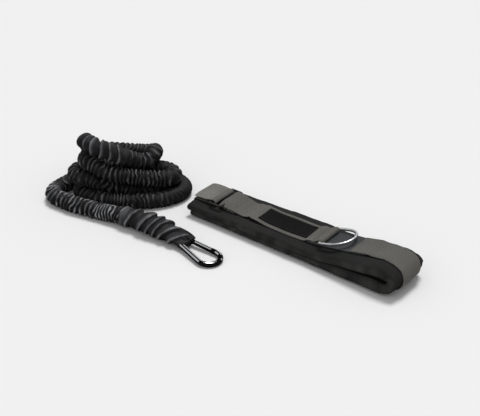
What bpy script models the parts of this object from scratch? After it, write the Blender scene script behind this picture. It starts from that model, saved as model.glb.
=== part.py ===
# Resistance sprint trainer: a padded waist belt folded in half, and an elastic cord in a
# gathered fabric sleeve, piled in loops beside it, with a snap hook on its near end.
# Metres, +Z up. The set lies on the floor at z = 0, with the middle of its box at the origin.

import math

import bmesh
import bpy
import numpy as np
from mathutils import Matrix, Vector

for old in list(bpy.data.objects):
    bpy.data.objects.remove(old, do_unlink=True)

# Shared values
MM = 0.001
FIT_GAP = 0.3 * MM
CUT_OVERRUN = 2 * MM
QUARTER_TURN = 90

# Where the set stands
SET_X = 26.3623 * MM
SET_Y = 38.4321 * MM
BELT_X = -67.7 * MM
BELT_Y = -42.3 * MM
BELT_HEADING = math.radians(-38.6)

# Elastic cord
SLEEVE_RADIUS = 14.2 * MM
SLEEVE_VALLEY_RADIUS = 11.9 * MM
SLEEVE_BORE_RADIUS = 7 * MM
SLEEVE_RIBS = 188
SLEEVE_FLAT_SHARE = 0.1
CORE_RADIUS = 5.5 * MM
CORE_POINT_SPACING = 15 * MM
LEAST_BEND = 22 * MM
PATH_STEP = 4 * MM
COIL_GAP = 0.9 * MM
SETTLE_ROUNDS = 260
LEAD_HEADING = math.radians(-41)
LEAD_STRAIGHT = 46 * MM
LEAD_RISE = 4.6 * MM

# Ends of the cord
CUFF_RADIUS = 16.2 * MM
CUFF_PLEAT_DEPTH = 1.6 * MM
CUFF_MOUTH_WALL = 1.4 * MM
CUFF_SOCKET_DEPTH = 11 * MM
CUFF_OVERRUN = 2 * MM
SLEEVE_END_RADIUS = 11.8 * MM
SLEEVE_NECK = 6 * MM
FRONT_CUFF_START = 14 * MM
FRONT_CUFF_LENGTH = 104 * MM
FRONT_CUFF_END_HALF_WIDTH = 15.5 * MM
REAR_CUFF_LENGTH = 88 * MM
REAR_STRAIGHT = 32 * MM
REAR_CUFF_END_GAP = 4 * MM
CUFF_SIDES = 12
FRONT_PLEATS = 6
REAR_PLEATS = 5
FERRULE_LENGTH = 22 * MM
FERRULE_RADIUS = 7.8 * MM
FRONT_FERRULE_START = 26 * MM
REAR_FERRULE_END_GAP = 8 * MM
STRAP_TUCK = 9 * MM

# Webbing
WEBBING_WIDTH = 50 * MM
WEBBING_THICKNESS = 1.8 * MM
GATHERED_WIDTH = 6.4 * MM
HAND_STRAP_WIDTH = 25 * MM
HOOK_LOOP_RADIUS = 6.6 * MM
HAND_LOOP_HALF_GAP = 6 * MM
STRAP_FLARE_LENGTH = 22 * MM

# Snap hook
HOOK_LENGTH = 90 * MM
HOOK_WIRE_RADIUS = 4.5 * MM
HOOK_EYE_RADIUS = 11 * MM
HOOK_END_RADIUS = 19 * MM
HOOK_HEADING = math.radians(-46.5)
HOOK_AXIS_X = -92.5 * MM
HOOK_AXIS_Y = -123.2 * MM
HOOK_AXIS_HEIGHT = 9 * MM
PIVOT_SETBACK = 9 * MM
STUB_CLEARANCE = 4.8 * MM
TONGUE_THICKNESS = 3.4 * MM
CAM_LOW_RADIUS = 3 * MM
CAM_HIGH_RADIUS = 4.2 * MM
CAM_START = math.radians(12)
CAM_TRAVEL = math.radians(28)
GATE_LENGTH = 32.3 * MM
GATE_RADIUS = 4.2 * MM
GATE_CAP_ANGLES = [math.radians(a) for a in (170, 145, 120)]
NOSE_GAP = 0.7 * MM
FORK_DEPTH = 6 * MM
NOSE_TONGUE_LENGTH = 5.8 * MM
NOSE_TONGUE_THICKNESS = 3 * MM
NOSE_TONGUE_HALF_HEIGHT = 2.7 * MM
LATCH_PIN_PLACE = 29.5 * MM
LATCH_PIN_RADIUS = 1 * MM
PIVOT_PIN_RADIUS = 1.25 * MM
PLUNGER_RADIUS = 1.9 * MM
PLUNGER_TIP_RADIUS = 0.7 * MM
PLUNGER_LENGTH = 5.8 * MM
GATE_BORE_RADIUS = 2.2 * MM
GATE_BORE_END = 22 * MM
SPRING_WIRE_RADIUS = 0.28 * MM
SPRING_CURLS = 6

# Belt
LINER_WIDTH = 90 * MM
LINER_THICKNESS = 11 * MM
LINER_EDGE_DROP = 1.9 * MM
LINER_OPEN_DROP = 3.5 * MM
LOWER_END = -22 * MM
UPPER_END = -28.6 * MM
LINER_END_ROUNDING = 3 * MM
LINER_END_SHARE = 0.45
LINER_STEP = 8 * MM
FOLD_START = 322 * MM
UPPER_RUN_FLAT_END = 150 * MM
LABEL_START = 103 * MM
LABEL_LENGTH = 97 * MM
LABEL_WIDTH = 35 * MM
LABEL_THICKNESS = 0.9 * MM

# D-ring and its strips
D_RING_WIRE_RADIUS = 2.5 * MM
D_RING_PLACE = 232 * MM
D_RING_DEPTH = 48 * MM
D_RING_SIDE_GAP = 1.2 * MM
D_RING_TILT = math.radians(15)
D_RING_CORNER_RADIUS = 3.2 * MM
TUCK_LENGTH = 20 * MM
ANCHOR_LEAD = 6 * MM
ANCHOR_START = D_RING_PLACE - TUCK_LENGTH - ANCHOR_LEAD
ANCHOR_END = 318 * MM
MAIN_WEBBING_START = 290 * MM

# Closure at the belt's left end
CLOSURE_WIRE_RADIUS = 2 * MM
CLOSURE_LEFT_BAR = 9 * MM
CLOSURE_RIGHT_BAR = 33 * MM
CLOSURE_LIFT = 2.5 * MM
CLOSURE_SIDE_GAP = 2.6 * MM
CLOSURE_CORNER_RADIUS = 4 * MM
TAIL_END = -25 * MM
TAIL_SEAM = 0.9 * MM
FASTENER_THICKNESS = 1.5 * MM
FASTENER_START = -23 * MM
FASTENER_END = 1 * MM
FASTENER_MARGIN = 2.5 * MM
WAVE_HEIGHT = 3.6 * MM
WAVE_START = 70 * MM
WAVE_END = 134 * MM


# Small helpers

def material(name, colour, roughness, metallic=0.0):
    mat = bpy.data.materials.new(name)
    mat.use_nodes = True
    shader = mat.node_tree.nodes["Principled BSDF"]
    shader.inputs["Base Color"].default_value = (*colour, 1)
    shader.inputs["Roughness"].default_value = roughness
    shader.inputs["Metallic"].default_value = metallic
    mat.diffuse_color = (*colour, 1)
    return mat


def empty(name, place, heading=0.0, parent=None):
    item = bpy.data.objects.new(name, None)
    bpy.context.collection.objects.link(item)
    item.location = place
    item.rotation_euler = (0, 0, heading)
    item.parent = parent
    return item


def solid(name, verts, faces, mat, parent, smooth_angle=35):
    mesh = bpy.data.meshes.new(name)
    mesh.from_pydata([tuple(float(v) for v in p) for p in verts], [], faces)
    bm = bmesh.new()
    bm.from_mesh(mesh)
    bmesh.ops.recalc_face_normals(bm, faces=bm.faces)
    bm.to_mesh(mesh)
    bm.free()
    mesh.shade_smooth()
    mesh.set_sharp_from_angle(angle=math.radians(smooth_angle))
    mesh.materials.append(mat)
    item = bpy.data.objects.new(name, mesh)
    bpy.context.collection.objects.link(item)
    item.parent = parent
    return item


def tube(name, points, radius, mat, parent, shares=None, cyclic=False, resolution=2):
    curve = bpy.data.curves.new(name, "CURVE")
    curve.dimensions = "3D"
    curve.bevel_depth = radius
    curve.bevel_resolution = resolution
    curve.use_fill_caps = True
    spline = curve.splines.new("POLY")
    spline.points.add(len(points) - 1)
    for k, place in enumerate(points):
        spline.points[k].co = (*(float(v) for v in place), 1)
        spline.points[k].radius = 1 if shares is None else shares[k]
    spline.use_cyclic_u = cyclic
    curve.materials.append(mat)
    item = bpy.data.objects.new(name, curve)
    bpy.context.collection.objects.link(item)
    item.parent = parent
    return item


def tube_mesh(name, points, radius, mat, parent, shares=None, resolution=2):
    # A tube turned to a mesh, so that Boolean cuts can follow
    guide = tube(name + "_line", points, radius, mat, None, shares, False, resolution)
    bpy.context.view_layer.update()
    shape = guide.evaluated_get(bpy.context.evaluated_depsgraph_get())
    mesh = bpy.data.meshes.new_from_object(shape)
    mesh.name = name
    bpy.data.objects.remove(guide, do_unlink=True)
    bm = bmesh.new()
    bm.from_mesh(mesh)
    bmesh.ops.remove_doubles(bm, verts=bm.verts, dist=radius / 1000)
    bmesh.ops.recalc_face_normals(bm, faces=bm.faces)
    bm.to_mesh(mesh)
    bm.free()
    mesh.shade_smooth()
    mesh.set_sharp_from_angle(angle=math.radians(60))
    item = bpy.data.objects.new(name, mesh)
    bpy.context.collection.objects.link(item)
    item.parent = parent
    return item


def loft(name, rings, mat, parent, smooth_angle=50):
    # Rings of points, each of the same count, joined side by side and closed at both ends
    count = len(rings[0])
    verts = [p for ring in rings for p in ring]
    faces = []
    for k in range(len(rings) - 1):
        for j in range(count):
            a = k * count + j
            b = k * count + (j + 1) % count
            faces.append((a, b, b + count, a + count))
    faces.append(tuple(range(count)))
    faces.append(tuple(range(len(verts) - count, len(verts))))
    return solid(name, verts, faces, mat, parent, smooth_angle)


def turned(name, profile, mat, parent, sides=16):
    # A solid of revolution about its own X axis, from (place, radius) pairs
    angles = [2 * math.pi * k / sides for k in range(sides)]
    rings = [[(x, r * math.cos(a), r * math.sin(a)) for a in angles] for x, r in profile]
    return loft(name, rings, mat, parent)


def slab(name, outline, half_thickness, mat, parent):
    # An outline in the XY plane, thickened both ways along Z
    low = [(x, y, -half_thickness) for x, y in outline]
    high = [(x, y, half_thickness) for x, y in outline]
    return loft(name, [low, high], mat, parent)


def box(name, low, high, mat, parent):
    outline = [(low[0], low[1]), (high[0], low[1]), (high[0], high[1]), (low[0], high[1])]
    rings = [[(x, y, z) for x, y in outline] for z in (low[2], high[2])]
    return loft(name, rings, mat, parent)


def pin(name, place, radius, half_length, mat, parent, sides=12):
    angles = [2 * math.pi * k / sides for k in range(sides)]
    rings = [
        [(place[0] + radius * math.cos(a), place[1] + radius * math.sin(a), z) for a in angles]
        for z in (-half_length, half_length)
    ]
    return loft(name, rings, mat, parent)


def combine(item, tool, operation):
    tool.hide_render = True
    tool.display_type = "WIRE"
    step = item.modifiers.new(tool.name, "BOOLEAN")
    step.object = tool
    step.operation = operation
    step.solver = "EXACT"


def ribbon(name, points, sides, widths, thickness, mat, parent):
    # A flat strip: its middle line, the direction across it at each point, and its widths
    points = [Vector(p) for p in points]
    rings = []
    for k, place in enumerate(points):
        ahead = points[min(k + 1, len(points) - 1)] - points[max(k - 1, 0)]
        across = Vector(sides[k]).normalized()
        up = ahead.cross(across).normalized()
        half = across * (widths[k] / 2)
        lift = up * (thickness / 2)
        rings.append([
            place - half - lift, place + half - lift, place + half + lift, place - half + lift,
        ])
    return loft(name, rings, mat, parent, 30)


def arc(middle, radius, start, end, steps):
    angles = np.linspace(math.radians(start), math.radians(end), steps)
    return [(middle[0] + radius * math.cos(a), middle[1] + radius * math.sin(a)) for a in angles]


def arc_lengths(points):
    gaps = np.linalg.norm(np.diff(points, axis=0), axis=1)
    return np.concatenate([[0], np.cumsum(gaps)])


def at_lengths(points, lengths):
    run = arc_lengths(points)
    return np.array([np.interp(lengths, run, points[:, k]) for k in range(points.shape[1])]).T


def between(first, second, start, end, now):
    return ((end - now) * first + (now - start) * second) / (end - start)


def through(points, step):
    # A smooth curve through the points, at even steps
    points = [np.array(p, float) for p in points]
    points = [2 * points[0] - points[1]] + points + [2 * points[-1] - points[-2]]
    fine = []
    for k in range(1, len(points) - 2):
        p = points[k - 1:k + 3]
        t = [0.0]
        for j in range(3):
            t.append(t[-1] + np.linalg.norm(p[j + 1] - p[j]) ** 0.5)
        for now in np.linspace(t[1], t[2], 24, endpoint=False):
            a = [between(p[j], p[j + 1], t[j], t[j + 1], now) for j in range(3)]
            b = [between(a[j], a[j + 1], t[j], t[j + 2], now) for j in range(2)]
            fine.append(between(b[0], b[1], t[1], t[2], now))
    fine.append(points[-2])
    fine = np.array(fine)
    length = arc_lengths(fine)[-1]
    return at_lengths(fine, np.linspace(0, length, int(round(length / step)) + 1))


# Materials

sleeve_cloth = material("sleeve_cloth", (0.018, 0.018, 0.020), 0.8)
cuff_cloth = material("cuff_cloth", (0.022, 0.022, 0.024), 0.8)
rubber = material("core_rubber", (0.05, 0.045, 0.04), 0.6)
crimp_steel = material("crimp_steel", (0.45, 0.45, 0.46), 0.4, 1)
hook_steel = material("hook_steel", (0.60, 0.60, 0.62), 0.18, 1)
spring_steel = material("spring_steel", (0.40, 0.40, 0.42), 0.35, 1)
grey_webbing = material("grey_webbing", (0.125, 0.120, 0.108), 0.85)
slate_webbing = material("slate_webbing", (0.080, 0.085, 0.092), 0.85)
black_webbing = material("black_webbing", (0.02, 0.02, 0.022), 0.85)
liner_cloth = material("liner_cloth", (0.026, 0.026, 0.027), 0.9)
label_cloth = material("label_cloth", (0.010, 0.010, 0.011), 0.75)
fastener_cloth = material("fastener_cloth", (0.03, 0.03, 0.03), 0.95)
black_wire = material("black_wire", (0.03, 0.03, 0.03), 0.4, 0.6)
guide_mark = material("guide_mark", (0.8, 0.2, 0.2), 0.5)

trainer = empty("trainer", (SET_X, SET_Y, 0))


# Route of the cord

FLOOR_HEIGHT = SLEEVE_RADIUS * (1 - 2 * SLEEVE_FLAT_SHARE)

# The stretch from the hook's eye to the pile, in metres on the floor
LEAD_ROUTE = [
    (-0.151, -0.079, 0.0158), (-0.175, -0.065, 0.0162), (-0.197, -0.052, 0.0150),
    (-0.228, -0.036, 0.0118), (-0.263, -0.019, 0.0114), (-0.295, -0.001, 0.0114),
]

# The pile, clockwise from above: side of the loop, place, how square the corner after it is,
# and the height at that corner where the sleeve climbs over another loop
PILE_ROUTE = [
    ("left", -0.327, 0.031, 0.0114, 0.62, None),
    ("back", -0.215, 0.128, 0.0114, 0.66, None),
    ("right", -0.096, 0.050, 0.0114, 0.72, None),
    ("front", -0.180, 0.005, 0.0114, 0.74, None),
    ("left", -0.280, 0.052, 0.0114, 0.70, None),
    ("back", -0.212, 0.097, 0.0114, 0.66, None),
    ("right", -0.134, 0.062, 0.0114, 0.74, None),
    ("front", -0.200, 0.027, 0.0200, 0.72, 0.034),
    ("left", -0.293, 0.048, 0.0400, 0.74, 0.041),
    ("back", -0.218, 0.083, 0.0410, 0.72, 0.040),
    ("right", -0.110, 0.049, 0.0380, 0.72, None),
    ("front", -0.175, 0.024, 0.0450, 0.72, None),
    ("left", -0.270, 0.048, 0.0660, 0.70, 0.064),
    ("back", -0.208, 0.110, 0.0550, 0.66, 0.055),
    ("right", -0.142, 0.073, 0.0580, 0.60, 0.061),
    ("front", -0.205, 0.042, 0.0790, 0.76, None),
]
PILE_END = [
    (-0.233, 0.041, 0.090), (-0.250, 0.041, 0.094), (-0.262, 0.048, 0.094), (-0.268, 0.067, 0.090),
]


def pile_points():
    # Each loop is worked out from its four sides, with a rounded corner between two of them
    points = []
    before = None
    for side, x, y, z, square, climb in PILE_ROUTE:
        here = np.array([x, y, z])
        if before is not None:
            last, last_side, share, height = before
            turn = here - last
            along_x = share if last_side in ("front", "back") else 1 - share
            along_y = 1 - along_x
            middle = (last[2] + here[2]) / 2 if height is None else height
            points.append([last[0] + turn[0] * along_x, last[1] + turn[1] * along_y, middle])
        points.append(here)
        before = (here, side, square, climb)
    return points


def settled(line, radii, rounds):
    # Loops that would press into each other are moved apart, and sharp bends are eased,
    # while the sleeve keeps its length and stays close to its route
    home = line.copy()
    step = arc_lengths(line)[-1] / (len(line) - 1)
    reach = 3
    sharp = (reach * step) ** 2 / LEAST_BEND / 2
    largest_move = SLEEVE_RADIUS / 10
    apart = int(math.ceil(2.6 * 2 * SLEEVE_RADIUS / step))
    i, j = np.triu_indices(len(line), apart)
    spacing = radii[i] + radii[j] + COIL_GAP
    held = int(LEAD_STRAIGHT / step) + 2
    ending = int(REAR_STRAIGHT / step) + 1
    for k in range(rounds):
        gap = line[j] - line[i]
        size = np.linalg.norm(gap, axis=1)
        hit = size < spacing
        push = gap[hit] * ((spacing[hit] - size[hit]) / size[hit] * 0.18)[:, None]
        move = np.zeros_like(line)
        np.add.at(move, j[hit], push)
        np.add.at(move, i[hit], -push)
        far = np.maximum(np.linalg.norm(move, axis=1), largest_move)
        line = line + move * (largest_move / far)[:, None]
        bend = (line[:-2 * reach] + line[2 * reach:]) / 2 - line[reach:-reach]
        size = np.linalg.norm(bend, axis=1)
        excess = np.clip(1 - sharp / np.maximum(size, sharp), 0, 1)
        line[reach:-reach] += bend * (excess * 0.5)[:, None]
        line[1:-1] += 0.04 * (line[:-2] - 2 * line[1:-1] + line[2:])
        for _ in range(2):
            piece = line[1:] - line[:-1]
            size = np.linalg.norm(piece, axis=1)
            fix = piece * ((size - step) / size * 0.25)[:, None]
            line[:-1] += fix
            line[1:] -= fix
        if k < rounds * 0.8:
            line += (home - line) * 0.02
        line[:, 2] = np.maximum(line[:, 2], FLOOR_HEIGHT)
        line[:held] = home[:held]
        share = np.linspace(0, 1, ending)[:, None]
        line[-ending:] = line[-ending] * (1 - share) + line[-1] * share
    return line


hook_axis = np.array([HOOK_AXIS_X, HOOK_AXIS_Y, HOOK_AXIS_HEIGHT])
lead_back = np.array([-math.cos(LEAD_HEADING), -math.sin(LEAD_HEADING), LEAD_RISE / LEAD_STRAIGHT])
lead_end = hook_axis + lead_back * LEAD_STRAIGHT
first_line = np.array([hook_axis + (lead_end - hook_axis) * k / 12 for k in range(12)])
rest_line = through([lead_end] + LEAD_ROUTE + pile_points() + PILE_END, PATH_STEP)
route = np.vstack([first_line, rest_line])
route_length = arc_lengths(route)[-1]
route = at_lengths(route, np.linspace(0, route_length, int(route_length / PATH_STEP) + 1))
run = arc_lengths(route)
thick_front = FRONT_CUFF_START + FRONT_CUFF_LENGTH
thick_rear = run[-1] - REAR_CUFF_LENGTH
radii = np.where((run < thick_front) | (run > thick_rear), CUFF_RADIUS, SLEEVE_RADIUS)
cord = settled(route, radii, SETTLE_ROUNDS)
cord = at_lengths(cord, np.linspace(0, arc_lengths(cord)[-1], len(cord)))
cord_length = arc_lengths(cord)[-1]


def on_cord(length):
    place = at_lengths(cord, [length])[0]
    ahead = at_lengths(cord, [min(length + PATH_STEP, cord_length)])[0]
    behind = at_lengths(cord, [max(length - PATH_STEP, 0)])[0]
    return place, (ahead - behind) / np.linalg.norm(ahead - behind)


# Sleeve and core

sleeve_start = thick_front - CUFF_SOCKET_DEPTH
sleeve_end = cord_length - REAR_CUFF_LENGTH + CUFF_SOCKET_DEPTH
sleeve_run = np.linspace(sleeve_start, sleeve_end, 2 * SLEEVE_RIBS)
sleeve_line = at_lengths(cord, sleeve_run)
valley_share = SLEEVE_VALLEY_RADIUS / SLEEVE_RADIUS
rib_shares = [1 if k % 2 else valley_share for k in range(2 * SLEEVE_RIBS)]
for k, length in enumerate(sleeve_run):
    if min(length - sleeve_start, sleeve_end - length) < CUFF_SOCKET_DEPTH + SLEEVE_NECK:
        rib_shares[k] = SLEEVE_END_RADIUS / SLEEVE_RADIUS
sleeve = tube_mesh("elastic_sleeve", sleeve_line, SLEEVE_RADIUS, sleeve_cloth, trainer, rib_shares)

core_start = FRONT_FERRULE_START + STRAP_TUCK + FIT_GAP
core_end = cord_length - REAR_FERRULE_END_GAP - STRAP_TUCK - FIT_GAP
core_count = int((core_end - core_start) / CORE_POINT_SPACING)
core_line = at_lengths(cord, np.linspace(core_start, core_end, core_count))
core = tube("elastic_core", core_line, CORE_RADIUS, rubber, trainer, None, False, 1)

bore_run = np.linspace(core_start, core_end, core_count)
keep = (bore_run > sleeve_start - CORE_POINT_SPACING) & (bore_run < sleeve_end + CORE_POINT_SPACING)
bore = tube_mesh("sleeve_bore", core_line[keep], SLEEVE_BORE_RADIUS, guide_mark, trainer, None, 1)
combine(sleeve, bore, "DIFFERENCE")
reach_low = cord.min(axis=0) - SLEEVE_RADIUS * 2
reach_high = cord.max(axis=0) + SLEEVE_RADIUS * 2
floor_cut = box(
    "floor_cut",
    (reach_low[0], reach_low[1], -2 * SLEEVE_RADIUS),
    (reach_high[0], reach_high[1], 0),
    guide_mark,
    trainer,
)
combine(sleeve, floor_cut, "DIFFERENCE")

spread = np.linalg.norm(sleeve_line[:, None] - sleeve_line[None], axis=2)
separate = np.abs(sleeve_run[:, None] - sleeve_run[None]) > 2.6 * 2 * SLEEVE_RADIUS
print("sleeve length", round(sleeve_end - sleeve_start, 4))
print("least gap of the sleeve to itself, mm", round((spread[separate].min() - 2 * SLEEVE_RADIUS) / MM, 2))


# Cuffs, ferrules and straps at the cord's ends

def cuff(name, start, length, pleats, half_width_at, half_height_at, bore_radius, mouth_first):
    # A gathered fabric cuff along the cord, with a socket at its mouth for the sleeve
    rings = []
    stations = 2 * pleats + 4
    for k in range(stations + 1):
        share = k / stations
        place, ahead = on_cord(start + length * share)
        side = np.cross([0, 0, 1], ahead)
        side /= np.linalg.norm(side)
        up = np.cross(ahead, side)
        deep = CUFF_PLEAT_DEPTH if k % 2 and 0 < k < stations else 0
        wide = half_width_at(share) - deep
        high = half_height_at(share, place) - deep / 2
        ring = []
        for j in range(CUFF_SIDES):
            a = 2 * math.pi * (j + 0.5) / CUFF_SIDES
            ring.append(place + side * wide * math.cos(a) + up * high * math.sin(a))
        rings.append(ring)
    item = loft(name, rings, cuff_cloth, trainer, 70)
    mouth = start if mouth_first else start + length
    inward = 1 if mouth_first else -1
    socket_radius = SLEEVE_END_RADIUS + 4 * FIT_GAP
    socket_depths = np.linspace(-2 * CUFF_OVERRUN, CUFF_SOCKET_DEPTH + FIT_GAP, 6)
    marks = [(depth, socket_radius) for depth in socket_depths]
    marks += [(CUFF_SOCKET_DEPTH + CUFF_OVERRUN, bore_radius)]
    steps = int((length - CUFF_SOCKET_DEPTH) / PATH_STEP / 2)
    for k in range(1, steps + 1):
        depth = CUFF_SOCKET_DEPTH + CUFF_OVERRUN + (length - CUFF_SOCKET_DEPTH) * k / steps
        marks.append((depth, bore_radius))
    line = []
    for depth, _ in marks:
        length_here = mouth + inward * depth
        place, ahead = on_cord(min(max(length_here, 0), cord_length))
        line.append(place + ahead * (length_here - min(max(length_here, 0), cord_length)))
    shares = [radius / socket_radius for _, radius in marks]
    hole = tube_mesh(name + "_bore", line, socket_radius, guide_mark, trainer, shares, 3)
    combine(item, hole, "DIFFERENCE")
    return item


ferrule_bore_radius = CORE_RADIUS + 3 * FIT_GAP
cuff_bore_radius = FERRULE_RADIUS + 3 * FIT_GAP


def front_half_width(share):
    ease = min(1, share / 0.35)
    return FRONT_CUFF_END_HALF_WIDTH + (CUFF_RADIUS - FRONT_CUFF_END_HALF_WIDTH) * ease


def front_half_height(share, place):
    return min(CUFF_RADIUS, place[2])


def rear_half_width(share):
    return CUFF_RADIUS


def rear_half_height(share, place):
    ease = max(0, (share - 0.6) / 0.4)
    return CUFF_RADIUS + (cuff_bore_radius + CUFF_MOUTH_WALL + CUFF_PLEAT_DEPTH - CUFF_RADIUS) * ease


front_cuff = cuff(
    "front_cuff", FRONT_CUFF_START, FRONT_CUFF_LENGTH, FRONT_PLEATS,
    front_half_width, front_half_height, cuff_bore_radius, False,
)
rear_cuff = cuff(
    "rear_cuff", cord_length - REAR_CUFF_LENGTH, REAR_CUFF_LENGTH - REAR_CUFF_END_GAP, REAR_PLEATS,
    rear_half_width, rear_half_height, cuff_bore_radius, True,
)


def ferrule(name, start):
    # A short steel tube pressed round the end of the core and the strap
    low, _ = on_cord(start)
    high, _ = on_cord(start + FERRULE_LENGTH)
    item = turned(
        name, [(0, FERRULE_RADIUS), (FERRULE_LENGTH, FERRULE_RADIUS)], crimp_steel, trainer)
    hole = turned(
        name + "_bore",
        [(-CUT_OVERRUN, ferrule_bore_radius), (FERRULE_LENGTH + CUT_OVERRUN, ferrule_bore_radius)],
        guide_mark, trainer)
    for piece in (item, hole):
        piece.location = Vector(low)
        piece.rotation_euler = Vector(high - low).to_track_quat("X", "Z").to_euler()
    combine(item, hole, "DIFFERENCE")
    return item


ferrule("front_ferrule", FRONT_FERRULE_START)
ferrule("rear_ferrule", cord_length - REAR_FERRULE_END_GAP - FERRULE_LENGTH)


def loop_strap(name, middle, sides, half_gaps, widths, mat):
    # A strap doubled back on itself: out along one side of its middle line, round, and back
    middle = [Vector(p) for p in middle]
    near, far, across = [], [], [Vector(s).normalized() for s in sides]
    for k, place in enumerate(middle):
        ahead = middle[min(k + 1, len(middle) - 1)] - middle[max(k - 1, 0)]
        up = ahead.cross(across[k]).normalized()
        near.append(place + up * half_gaps[k])
        far.append(place - up * half_gaps[k])
    ahead = (middle[-1] - middle[-2]).normalized()
    up = ahead.cross(across[-1]).normalized()
    turn = []
    for k in range(1, 8):
        a = math.pi / 2 - math.pi * k / 8
        turn.append(middle[-1] + (ahead * math.cos(a) + up * math.sin(a)) * half_gaps[-1])
    points = near + turn + far[::-1]
    all_sides = across + [across[-1]] * len(turn) + across[::-1]
    all_widths = list(widths) + [widths[-1]] * len(turn) + list(widths)[::-1]
    return ribbon(name, points, all_sides, all_widths, WEBBING_THICKNESS, mat, trainer)


layer_half_gap = (WEBBING_THICKNESS + FIT_GAP) / 2
strap_start = FRONT_FERRULE_START + STRAP_TUCK
hook_strap_half_gap = HOOK_LOOP_RADIUS + WEBBING_THICKNESS / 2
hook_strap_run = np.linspace(strap_start, 0, 13)
hook_strap_line = at_lengths(cord, hook_strap_run)
level_side = (math.sin(LEAD_HEADING), -math.cos(LEAD_HEADING), 0)
opening_share = (strap_start - hook_strap_run - STRAP_TUCK) / (FRONT_FERRULE_START - STRAP_TUCK)
opening_share = np.clip(opening_share, 0, 1)
hook_strap_gaps = [
    layer_half_gap + (hook_strap_half_gap - layer_half_gap) * math.sin(share * math.pi / 2) ** 2
    for share in opening_share
]
loop_strap(
    "hook_strap", hook_strap_line, [level_side] * len(hook_strap_run), hook_strap_gaps,
    [GATHERED_WIDTH] * len(hook_strap_run), black_webbing,
)

# The hand strap leaves the rear cuff and lies on the floor behind the pile
floor_level = HAND_LOOP_HALF_GAP + WEBBING_THICKNESS / 2 + FIT_GAP
HAND_STRAP_ROUTE = [
    (-0.274, 0.098, 0.0770), (-0.275, 0.121, 0.0590), (-0.273, 0.143, 0.0360), (-0.269, 0.160, 0.0140),
    (-0.266, 0.174, floor_level), (-0.266, 0.185, floor_level), (-0.266, 0.195, floor_level),
]
strap_inside = cord_length - REAR_FERRULE_END_GAP - STRAP_TUCK
strap_head = at_lengths(cord, np.linspace(strap_inside, cord_length, 5))
hand_line = through(list(strap_head[:1]) + list(strap_head[-1:]) + HAND_STRAP_ROUTE, 2 * PATH_STEP)
hand_run = arc_lengths(hand_line)
hand_sides = []
for k in range(len(hand_line)):
    ahead = hand_line[min(k + 1, len(hand_line) - 1)] - hand_line[max(k - 1, 0)]
    hand_sides.append(Vector(np.cross([0, 0, 1], ahead)).normalized())
leaving = REAR_FERRULE_END_GAP + STRAP_TUCK
flare = np.clip((hand_run - leaving) / STRAP_FLARE_LENGTH, 0, 1)
hand_widths = GATHERED_WIDTH + (HAND_STRAP_WIDTH - GATHERED_WIDTH) * flare
hand_opening = np.clip((hand_run - leaving) / (hand_run[-1] - leaving), 0, 1)
hand_gaps = layer_half_gap + (HAND_LOOP_HALF_GAP - layer_half_gap) * hand_opening ** 2
loop_strap("hand_strap", hand_line, hand_sides, hand_gaps, hand_widths, black_webbing)


# Snap hook, in its own frame: X from its eye to its wide end, origin on the eye's wire

rest_drop = HOOK_AXIS_HEIGHT - HOOK_WIRE_RADIUS
wide_place = HOOK_LENGTH - 2 * HOOK_WIRE_RADIUS - HOOK_END_RADIUS
hook_pitch = math.asin(rest_drop / (wide_place + HOOK_END_RADIUS))
hook_frame = empty("hook_axis", tuple(hook_axis), 0, trainer)
hook_frame.rotation_euler = (0, hook_pitch, HOOK_HEADING)

lean = math.asin((HOOK_END_RADIUS - HOOK_EYE_RADIUS) / (wide_place - HOOK_EYE_RADIUS))
eye_tangent = (HOOK_EYE_RADIUS - HOOK_EYE_RADIUS * math.sin(lean), HOOK_EYE_RADIUS * math.cos(lean))
gate_ahead = (math.cos(lean), math.sin(lean))
pivot = (
    eye_tangent[0] + PIVOT_SETBACK * gate_ahead[0],
    eye_tangent[1] + PIVOT_SETBACK * gate_ahead[1],
)


def on_gate_line(place, off=0.0):
    return (
        pivot[0] + place * gate_ahead[0] - off * gate_ahead[1],
        pivot[1] + place * gate_ahead[1] + off * gate_ahead[0],
    )


turn = math.degrees(lean)
wire = [on_gate_line(-STUB_CLEARANCE)]
wire += arc(
    (HOOK_EYE_RADIUS, 0), HOOK_EYE_RADIUS, QUARTER_TURN + turn, 3 * QUARTER_TURN - turn, 13)
wire += arc((wide_place, 0), HOOK_END_RADIUS, -QUARTER_TURN - turn, QUARTER_TURN + turn, 19)
nose_place = GATE_LENGTH + NOSE_GAP
wire += [on_gate_line(nose_place)]
wire_points = [(x, y, 0) for x, y in wire]
hook_body = tube_mesh("hook_body", wire_points, HOOK_WIRE_RADIUS, hook_steel, hook_frame, None, 4)


def cam_outline():
    outline = []
    inner = -math.pi * 0.75
    for k in range(25):
        a = inner + (math.pi * 1.5) * k / 24
        rise = min(1, max(0, (-a - CAM_START) / CAM_TRAVEL))
        radius = CAM_LOW_RADIUS + (CAM_HIGH_RADIUS - CAM_LOW_RADIUS) * rise
        outline.append((radius * math.cos(a), radius * math.sin(a)))
    return outline


gate_frame = empty("gate_axis", (*pivot, 0), lean, hook_frame)
cam = cam_outline()
root_half = CAM_LOW_RADIUS
stub_in = -STUB_CLEARANCE - CUT_OVERRUN
pivot_outline = [(stub_in, -root_half)] + cam + [(stub_in, root_half)]
pivot_tongue = slab("pivot_tongue", pivot_outline, TONGUE_THICKNESS / 2, guide_mark, gate_frame)
combine(hook_body, pivot_tongue, "UNION")

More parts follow.
